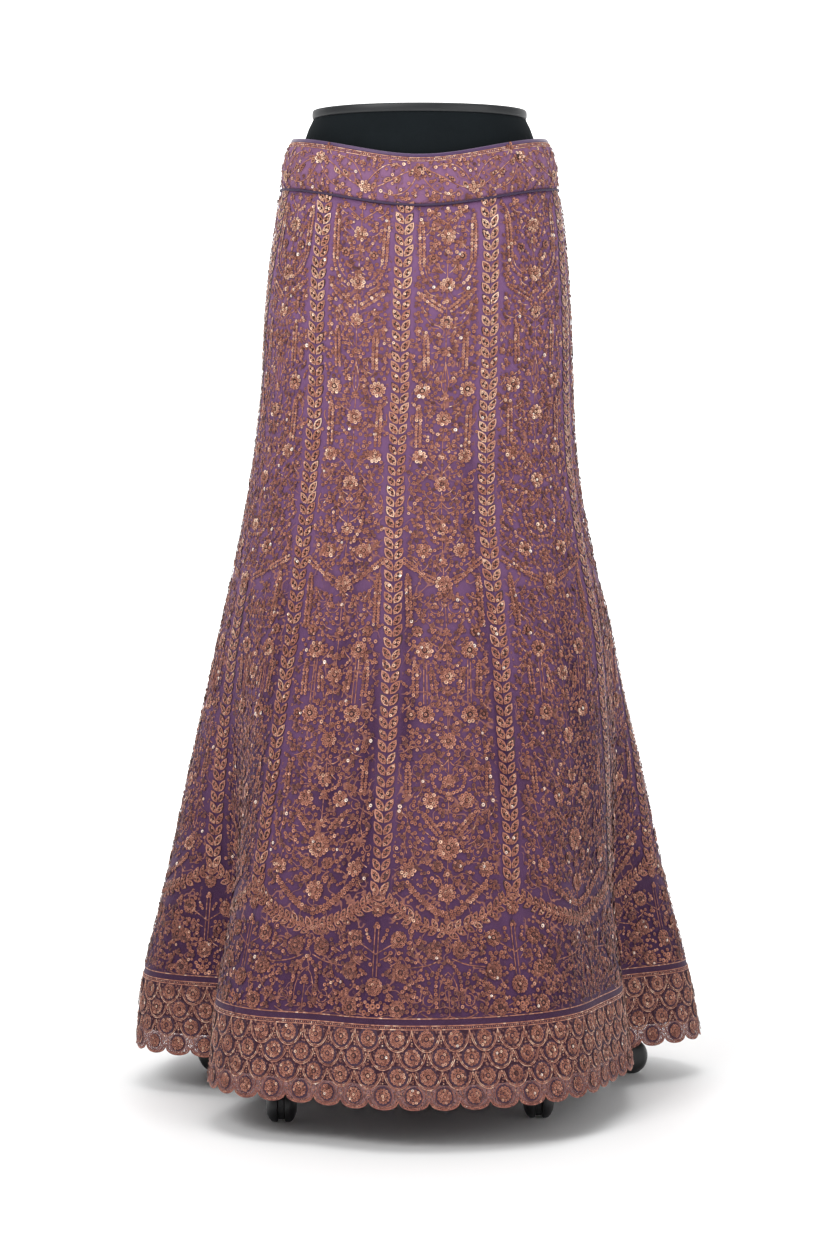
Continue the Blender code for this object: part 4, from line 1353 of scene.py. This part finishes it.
def draw_foot(work):
    """The band of flowers and arches above the border, at the middle of a ground."""
    for side in (-1, 1):
        work.medallion(*work.at(side * 14.3, 0.200), 0.0090)
        work.medallion(*work.at(side * 49.0, 0.179), 0.0088)
        work.cord([work.at(side * 5.0, 0.192), work.at(side * 20.0, 0.186), work.at(side * 40.0, 0.183)])
        for across, rise, size, turn in (
            (24.0, 0.190, 0.009, 40), (32.0, 0.188, 0.009, 70), (33.0, 0.180, 0.008, 120),
            (42.0, 0.168, 0.009, 150), (34.0, 0.158, 0.009, 110), (38.0, 0.150, 0.008, 60),
            (20.0, 0.172, 0.009, 20), (26.0, 0.163, 0.008, 60),
        ):
            work.leaf(*work.at(side * across, rise), size, side * math.radians(turn))
        work.floret(*work.at(side * 28.6, 0.173), 0.0, 1.1)
        work.curl(*work.at(side * 21.0, 0.151), 0.0070, math.pi / 2, 1.0, -side)
        arch = [(0.8, 0.190), (7.0, 0.184), (12.0, 0.174), (13.6, 0.160), (13.6, 0.145)]
        work.row([(side * x * 0.001, h) for x, h in arch], 0.85)
        work.cord([(side * 0.0100, 0.145), (side * 0.0098, 0.160), (side * 0.0060, 0.172), (0.0, 0.179)], 0.8)
        ground = ((0.5, 0.136), (6.0, 0.134), (20.0, 0.1345), (30.0, 0.139))
        work.cord([(side * x * 0.001, h) for x, h in ground])
    work.cord([(0.0, 0.136), (0.0, 0.166)])
    work.bud(0.0, 0.163, 0.010)


def draw_strip_foot(work):
    """The flowers that hang from the foot of a leaf strip."""
    work.medallion(0.0, 0.240, 0.0074)
    for side in (-1, 1):
        work.cord([(side * 0.002, 0.226), (side * 0.002, 0.200), (side * 0.002, 0.174)])
        work.cord([(0.0, 0.196), (side * 0.010, 0.202), (side * 0.017, 0.206)])
        for x, height, radius in ((23.5, 0.211, 8.6), (27.0, 0.178, 8.6), (25.5, 0.143, 8.8)):
            work.medallion(side * x * 0.001, height, radius * 0.001)
        work.curl(side * 0.037, 0.219, 0.0050, 0.0, 0.9, side)
        for x, height, size, turn in (
            (6.0, 0.208, 9.0, 30), (10.0, 0.190, 9.0, 75), (12.0, 0.176, 9.0, 110), (2.0, 0.140, 11.0, 35),
            (3.0, 0.137, 11.0, 75), (13.0, 0.160, 9.0, 60), (36.0, 0.198, 8.0, 40), (13.0, 0.152, 8.0, 100),
            (36.0, 0.166, 9.0, 60), (37.0, 0.156, 9.0, 100),
        ):
            work.leaf(side * x * 0.001, height, size * 0.001, side * math.radians(turn))
        ground = ((6.0, 0.134), (16.0, 0.137), (30.0, 0.134), (42.0, 0.137))
        work.cord([(side * x * 0.001, h) for x, h in ground])
    work.medallion(0.0, 0.164, 0.0094)
    work.leaf(0.0, 0.138, 0.012, 0.0)
    work.floret(0.0, 0.224)
    work.fill(0.140, 0.220, 0.0, 0.0066, 0.0021)


def draw_ground_garland(work):
    """The wide leaf garland from the feet of two strips to the middle between them."""
    edge = work.guide.half_width(0.252)
    keep = work.tone
    work.tone = STRIP_TONE
    for side in (-1, 1):
        places = [(side * edge * 0.93, 0.252), (side * edge * 0.72, 0.240), (side * edge * 0.42, 0.228),
                  (side * 0.001, 0.218)]
        work.garland(places, 0.0122, 0.0088)
    work.tone = keep


def draw_strip(angles, top, seed):
    """A leaf strip down a line of the cloth, with the flowers at its foot."""
    work = Work(LineGuide(angles), seed)
    work.tone = STRIP_TONE
    work.leaf_strip([(0.0, top), (0.0, STRIP_END)], sizes().leaf, LEAF_PITCH)
    draw_strip_foot(work)
    return work


def make_kali_work(kali):
    """All needlework of one kali above the border, with the strip on its left seam."""
    seed = 100 * kali
    whole = ColumnGuide(kali, 0.0, 1.0)
    upper = Work(whole, seed)
    draw_column(upper, *UPPER)
    upper.fill(0.592, 1.002, 0.0156, 0.0062, 0.0020)
    works = [upper]
    halves = ((0.0, 0.5), (0.5, 1.0)) if kali in SPLIT_KALIS else ((0.0, 1.0),)
    for low, high in halves:
        lower = Work(ColumnGuide(kali, low, high), seed + 1 + int(low * 2))
        draw_column(lower, *LOWER)
        lower.fill(0.262, 0.566, 0.0160, 0.0064, 0.0022)
        draw_foot(lower)
        draw_ground_garland(lower)
        lower.fill(0.141, 0.214, 0.037, 0.0066, 0.0021)
        works.append(lower)
    works.append(draw_strip(seam_angle(kali - 1, GRID_HEIGHTS), STRIP_TOP, seed + 5))
    if kali in SPLIT_KALIS:
        middle = whole.at_share(np.full(len(GRID_HEIGHTS), 0.5), GRID_HEIGHTS)
        works.append(draw_strip(middle, SPLIT_HEIGHT - 0.016, seed + 6))
    piece_of_works(f"kali_{kali}_work", works)


# A medallion's hanging frame, in millimetres across and above its middle
OUTER_SWAG = ((15.9, 4.4), (14.2, 0.6), (12.4, -4.4), (7.0, -10.6), (0.0, -12.8))
INNER_SWAG = ((13.6, 3.6), (12.0, -1.0), (9.6, -6.2), (5.2, -10.0), (0.0, -11.3))
TOP_PEAK = 4.4


def both_sides(x, height, shape):
    """A shape given for its right side, as one path from left to right."""
    left = [(x - across * 0.001, height + rise * 0.001) for across, rise in shape]
    right = [(x + across * 0.001, height + rise * 0.001) for across, rise in shape[-2::-1]]
    return left + right


def draw_medallion_frame(work, x, height, peak):
    """A peaked cord round a medallion's lower side, a second cord inside it and beads in the peak."""
    first, *rest = OUTER_SWAG
    outer = ((first[0], first[1] + peak), (first[0] - 0.7, first[1]), *rest) if peak else OUTER_SWAG
    work.cord(both_sides(x, height, outer), 0.78, tone=0.94)
    work.cord(both_sides(x, height, INNER_SWAG), 0.66, tone=0.80, spread=0.24)
    for rise in (0.0010, -0.0016, -0.0042, -0.0068):
        work.knot(x + 0.016, height + rise, 0.95)


def make_border():
    """Three rows of medallions on the silk, in two halves, with cords above them."""
    for half, name in ((0, "border_front_work"), (1, "border_back_work")):
        work = Work(HemGuide(), 900 + half)
        work.tone = BORDER_TONE
        start = half * SCALLOPS // 2
        for k in range(start, start + SCALLOPS // 2):
            for row, height in enumerate(BORDER_ROWS):
                x = (k + 0.5 * (row % 2)) * SCALLOP_WIDTH
                work.medallion(x, height, 0.0086, True)
                draw_medallion_frame(work, x, height, TOP_PEAK if row == 0 else 0.0)
        low = start * SCALLOP_WIDTH
        high = low + SCALLOPS // 2 * SCALLOP_WIDTH
        for height, width in BORDER_CORDS:
            work.cord([(x, height) for x in np.linspace(low, high, 360)], width, tone=0.80)
        for x in np.arange(low, high, 0.0024):
            work.knot(x, BORDER_BEADS, 0.9)
        piece_of_works(name, [work])


def scallop_bottom(share):
    return HEM_HEIGHT + SCALLOP_RISE * (1.0 - math.sqrt(max(0.0, 1.0 - (2.0 * share - 1.0) ** 2)))


def make_lace():
    """Scalloped edging in two lengths: open net, and the cords and medallions on it."""
    guide = HemGuide()
    for half, node in ((0, "lace_edge_front"), (1, "lace_edge_back")):
        start = half * SCALLOPS // 2
        per = 8
        count = SCALLOPS // 2 * per + 1
        places = start + np.linspace(0.0, SCALLOPS // 2, count)
        foot = np.array([scallop_bottom(p % 1.0 if p < places[-1] else 1.0) for p in places])
        share = np.linspace(0.0, 1.0, 4)[:, None]
        heights = KALI_FOOT + (foot - KALI_FOOT)[None, :] * share
        angles = np.repeat(guide.angle(places * SCALLOP_WIDTH, KALI_FOOT)[None, :], 4, 0)
        mesh = shell_mesh(f"{node}_net", angles, heights, "lace", NET_THICKNESS, -0.0001)
        net = new_piece(mesh.name, mesh, SKIRT_BODY, [node])
        around = way_round(angles[0], KALI_FOOT)[-1]
        declare_cloth(net, around, KALI_FOOT - HEM_HEIGHT)
        work = Work(guide, 950 + half)
        work.tone = BORDER_TONE
        for k in range(start, start + SCALLOPS // 2):
            x = (k + 0.5) * SCALLOP_WIDTH
            work.medallion(x, LACE_MIDDLE, 0.0078, True)
            turns = np.linspace(0.3, 2 * math.pi - 0.3, 17)
            work.cord([(x + 0.0100 * math.sin(t), LACE_MIDDLE + 0.0100 * math.cos(t)) for t in turns], 0.8)
            shares = np.linspace(0.0, 1.0, 13)
            for reach, rise, width in ((1.0, 0.0005, 1.2), (0.90, 0.0022, 0.8)):
                places = []
                for s in shares:
                    at = 0.5 + (s - 0.5) * reach
                    places.append(((k + at) * SCALLOP_WIDTH, scallop_bottom(s) + rise))
                work.cord(places, width, tone=0.6)
            for s in np.linspace(0.06, 0.94, 15):
                at = 0.5 + (s - 0.5) * 0.95
                work.knot((k + at) * SCALLOP_WIDTH, scallop_bottom(s) + 0.0014, 0.7)
            for side in (-1, 1):
                for across, rise in ((0.0128, 0.0600), (0.0138, 0.0640), (0.0152, 0.0575)):
                    work.knot(x + side * across, rise, 1.1)
                peak = ((11.8, 0.0545), (13.0, 0.0620), (15.8, 0.0690))
                work.cord([(x + side * across * 0.001, rise) for across, rise in peak], 0.8)
        piece_of_works(f"{node}_work", [work])


def make_band_work():
    """A vine of flowers, paisleys and tendrils round the waistband."""
    guide = BandGuide()
    work = Work(guide, 970)
    left, right = guide.way[0] + 0.006, guide.way[-1] - 0.006
    bay = (right - left) / VINE_BAYS
    for height in BAND_CORDS:
        work.cord([(x, height) for x in np.arange(left, right, 0.006)], 0.8, tone=0.62)
    for x in np.arange(left, right, 0.0026):
        work.knot(x, BAND_BEADS, 1.0)
    for i in range(VINE_BAYS):
        x = left + i * bay
        up = 1 if i % 2 else -1
        if i:
            work.rosette(x, VINE_MIDDLE + up * VINE_FLOWER_RISE, 0.0068)

        def place(along, rise):
            return x + along * bay, VINE_MIDDLE + up * rise * 0.001

        for tendril in (
            ((0.10, 12.0), (0.28, 8.0), (0.50, 0.0), (0.72, -8.0), (0.90, -12.0)),
            ((0.05, 5.0), (0.16, -4.0), (0.32, -13.0), (0.50, -16.5), (0.66, -15.0)),
            ((0.34, 15.5), (0.52, 17.0), (0.72, 13.0), (0.86, 4.0), (0.93, -4.0)),
        ):
            work.cord([place(along, rise) for along, rise in tendril])
        for along, rise, size in (
            (0.20, -1.5, 0.8), (0.25, -13.5, 0.9), (0.38, -10.5, 0.8), (0.44, -19.0, 0.8), (0.56, -13.0, 0.8),
            (0.70, -17.5, 0.9), (0.30, 14.0, 0.9), (0.46, 13.0, 0.8), (0.58, 19.0, 0.8), (0.66, 10.5, 0.8),
            (0.78, 14.5, 0.8), (0.80, 3.0, 0.8), (0.95, 6.0, 0.8), (0.05, -7.0, 0.8), (0.50, 5.0, 0.8),
            (0.50, -5.0, 0.8), (0.13, -16.0, 0.8), (0.88, 14.0, 0.8),
        ):
            work.ring(*place(along, rise), size)
        for along, rise, turn in ((0.34, 4.0, 2.2), (0.66, -3.0, -0.9), (0.20, 5.0, -0.5), (0.80, -4.0, 2.6)):
            work.edged_leaf(*place(along, rise), 0.0105, turn if up > 0 else math.pi - turn)
        for along, rise, turn in (
            (0.45, -14.0, 2.0), (0.52, 14.0, -1.1), (0.12, -10.0, 2.9), (0.90, 9.0, 0.2),
        ):
            work.leaf(*place(along, rise), 0.0075, turn if up > 0 else math.pi - turn)
    work.fill(1.0138, 1.0546, 0.0, 0.0078, 0.0021)
    piece_of_works("waistband_work", [work])


# Form, zip and stand

def oval_row(height, half_width, half_depth, count=96):
    turn = np.arange(count) * 2 * math.pi / count
    return np.stack([half_width * np.sin(turn), -half_depth * np.cos(turn), np.full(count, height)], 1)


def make_top():
    """The form's neck above the cloth and its flat cap, smoother than their solids."""
    neck = ((1.0560, 0.1295, 0.0930), (1.0640, 0.1283, 0.0923), (1.0760, 0.1240, 0.0900),
            (1.0830, 0.1206, 0.0880), (1.0862, 0.1186, 0.0866), (1.0866, 0.1160, 0.0840))
    rings = np.array([oval_row(*row) for row in neck])
    mesh = tube_mesh("form_neck_cover", rings, "cover")
    new_piece("form_neck_cover", mesh, SKIRT_BODY)
    disc = [(1.0868, 0.0030)]
    for turn in np.linspace(-90.0, 90.0, 13):
        angle = math.radians(turn)
        disc.append((1.0920 + 0.0049 * math.sin(angle), 0.0022 * (1 - math.cos(angle) ** 0.7)))
    disc.append((1.0970, 0.0060))
    rings = np.array([oval_row(h, 0.1200 - inset, 0.0880 - inset) for h, inset in disc])
    mesh = tube_mesh("form_cap_plate", rings, "cap")
    new_piece("form_cap_plate", mesh, SKIRT_BODY, ["form_cap"])


def make_zip():
    """Two rows of teeth on their tape in the centre-back seam."""
    points = []
    faces = []
    size = np.array([0.0011, 0.0006, 0.0005])
    corners = np.array([(x, y, z) for x in (-1, 1) for y in (-1, 1) for z in (-1, 1)], float)
    quads = np.array([(0, 1, 3, 2), (4, 6, 7, 5), (0, 4, 5, 1), (2, 3, 7, 6), (0, 2, 6, 4), (1, 5, 7, 3)])
    for i, height in enumerate(np.arange(ZIP_END + 0.002, WAIST_TOP - 0.003, 0.0012)):
        side = 1 if i % 2 else -1
        centre = cloth_at(ZIP_LINE.angle(side * 0.0006, height), height, 0.0001)
        points.append(centre + corners * size)
        faces.append(quads + 8 * i)
    mesh = plain_mesh("zip_teeth", np.concatenate(points), np.concatenate(faces).tolist(), "zip", False)
    new_piece("zip_teeth", mesh, SKIRT_BODY)


def lathe_mesh(name, profile, steps, finish_name):
    """A profile of places along X and radii, turned about X."""
    turn = np.arange(steps) * 2 * math.pi / steps
    rings = [
        np.stack([np.full(steps, x), radius * np.sin(turn), radius * np.cos(turn)], 1)
        for x, radius in profile
    ]
    return tube_mesh(name, np.array(rings), finish_name)


def make_wheels():
    """Smooth twin wheels on the castors' axles."""
    tyre = ((0.0037, 0.0180), (0.0040, 0.0190), (0.0052, 0.0196), (0.0080, 0.0197), (0.0100, 0.0192),
            (0.0128, 0.0162), (0.0150, 0.0122), (0.0160, 0.0088), (0.0163, 0.0040), (0.0163, 0.0004))
    left = [(-x, radius) for x, radius in reversed(tyre)]
    profile = [*left, (-0.0036, 0.0150), (-0.0036, 0.0031), (0.0036, 0.0031), (0.0036, 0.0150), *tyre]
    for number in range(1, CASTORS + 1):
        node = f"castor_{number}_wheel"
        joint = next(found for found in frame["joints"] if found["name"] == f"castor_{number}_roll")
        mesh = lathe_mesh(f"castor_{number}_tyre", profile, 40, "castor")
        axis = Vector(joint["axis"])
        turn = Vector((1.0, 0.0, 0.0)).rotation_difference(axis).to_matrix().to_4x4()
        mesh.transform(Matrix.Translation(Vector(joint["pos_m"])) @ turn)
        new_piece(mesh.name, mesh, f"castor_{number}_roller", [node])


def give_finishes():
    """Better finishes on the solids that stay."""
    shades = {"form_body": "cover", "stand_pole": "metal", "stand_base": "metal", "zip_chain": "zip",
              "zip_slider": "zip", "zip_pull": "zip"}
    for number in range(1, CASTORS + 1):
        shades[f"castor_{number}_body"] = "castor"
    for node, shade in shades.items():
        target = frame["nodes"][node]
        target.data.materials.clear()
        target.data.materials.append(finish_of(shade))


# Operators

class LEHENGA_OT_camera(bpy.types.Operator):
    """Place the photograph's camera"""

    bl_idname = "lehenga.camera"
    bl_label = "Camera"

    def execute(self, context):
        lens = bpy.data.cameras.new("view_of_the_photo")
        lens.lens = CAMERA_LENS
        lens.sensor_width = 36.0
        lens.clip_end = 60.0
        camera = linked("view_of_the_photo", lens)
        camera.location = CAMERA_PLACE
        camera.rotation_euler = (math.radians(90.0 - CAMERA_DOWN), 0.0, 0.0)
        context.scene.camera = camera
        return {"FINISHED"}


class LEHENGA_OT_stage(bpy.types.Operator):
    """Make the seamless paper and the soft lights"""

    bl_idname = "lehenga.stage"
    bl_label = "Stage"

    def execute(self, context):
        profile = [(-8.0, 0.0), (3.2, 0.0)]
        for turn in np.linspace(5.0, 90.0, 14):
            angle = math.radians(turn)
            profile.append((3.2 + 1.6 * math.sin(angle), 1.6 - 1.6 * math.cos(angle)))
        profile.append((4.8, 9.0))
        points = [(x, y, z) for y, z in profile for x in (-9.0, 9.0)]
        faces = [(2 * i, 2 * i + 1, 2 * i + 3, 2 * i + 2) for i in range(len(profile) - 1)]
        paper = linked("studio_paper", plain_mesh("studio_paper", points, faces, "floor"))
        for name, place, aim, size, power in LIGHTS:
            light = bpy.data.lights.new(name, "AREA")
            light.shape = "DISK"
            light.size = size
            light.energy = power
            lamp = linked(name, light)
            lamp.location = place
            lamp.rotation_euler = (Vector(aim) - Vector(place)).to_track_quat("-Z", "Y").to_euler()
        world = context.scene.world or bpy.data.worlds.new("studio")
        context.scene.world = world
        world.use_nodes = True
        sky = world.node_tree.nodes["Background"].inputs
        sky["Color"].default_value = (1.0, 1.0, 1.0, 1.0)
        sky["Strength"].default_value = SKY_STRENGTH
        context.scene.view_settings.view_transform = "Standard"
        return {"FINISHED"}


class LEHENGA_OT_stand(bpy.types.Operator):
    """Finish the form, the pole, the base and the castors"""

    bl_idname = "lehenga.stand"
    bl_label = "Form and stand"

    def execute(self, context):
        give_finishes()
        make_top()
        make_wheels()
        return {"FINISHED"}


class LEHENGA_OT_cloth(bpy.types.Operator):
    """Make the kalis, the waistband and its edges"""

    bl_idname = "lehenga.cloth"
    bl_label = "Cloth"

    def execute(self, context):
        for kali in range(1, len(SEAMS) + 1):
            piece = kali_shell(kali)
            width = KALI_TABLES[kali][1].max()
            declare_cloth(piece, width, SEAM_HEIGHT - KALI_FOOT + 0.035)
        make_band_cloth()
        return {"FINISHED"}


class LEHENGA_OT_work(bpy.types.Operator):
    """Embroider the kalis"""

    bl_idname = "lehenga.work"
    bl_label = "Embroidery"

    def execute(self, context):
        for kali in range(1, len(SEAMS) + 1):
            make_kali_work(kali)
        return {"FINISHED"}


class LEHENGA_OT_edges(bpy.types.Operator):
    """Work the border, the lace and the waistband"""

    bl_idname = "lehenga.edges"
    bl_label = "Border, lace and waistband"

    def execute(self, context):
        make_border()
        make_lace()
        make_band_work()
        return {"FINISHED"}


class LEHENGA_OT_zip(bpy.types.Operator):
    """Put the teeth on the zip"""

    bl_idname = "lehenga.zip"
    bl_label = "Zip"

    def execute(self, context):
        make_zip()
        return {"FINISHED"}


class LEHENGA_PT_panel(bpy.types.Panel):
    """Sizes, colours and the steps in their order"""

    bl_label = "Lehenga"
    bl_idname = "LEHENGA_PT_panel"
    bl_space_type = "VIEW_3D"
    bl_region_type = "UI"
    bl_category = "Lehenga"

    def draw(self, context):
        layout = self.layout
        for group in (context.scene.lehenga_sizes, context.scene.lehenga_colours):
            box = layout.box()
            for label in group.__annotations__:
                box.prop(group, label)
        for operator in OPERATORS:
            layout.operator(operator.bl_idname)


OPERATORS = (
    LEHENGA_OT_camera, LEHENGA_OT_stage, LEHENGA_OT_stand, LEHENGA_OT_cloth,
    LEHENGA_OT_work, LEHENGA_OT_edges, LEHENGA_OT_zip,
)
CLASSES = (LehengaSizes, LehengaColours, *OPERATORS, LEHENGA_PT_panel)


def register():
    for made in CLASSES:
        bpy.utils.register_class(made)
    bpy.types.Scene.lehenga_sizes = PointerProperty(type=LehengaSizes)
    bpy.types.Scene.lehenga_colours = PointerProperty(type=LehengaColours)


def unregister():
    del bpy.types.Scene.lehenga_colours
    del bpy.types.Scene.lehenga_sizes
    for made in reversed(CLASSES):
        bpy.utils.unregister_class(made)


def main():
    register()
    bpy.ops.lehenga.camera()
    bpy.ops.lehenga.stage()
    bpy.ops.lehenga.stand()
    bpy.ops.lehenga.cloth()
    bpy.ops.lehenga.work()
    bpy.ops.lehenga.edges()
    bpy.ops.lehenga.zip()
    bpy.context.view_layer.update()


if __name__ == "__main__":
    main()
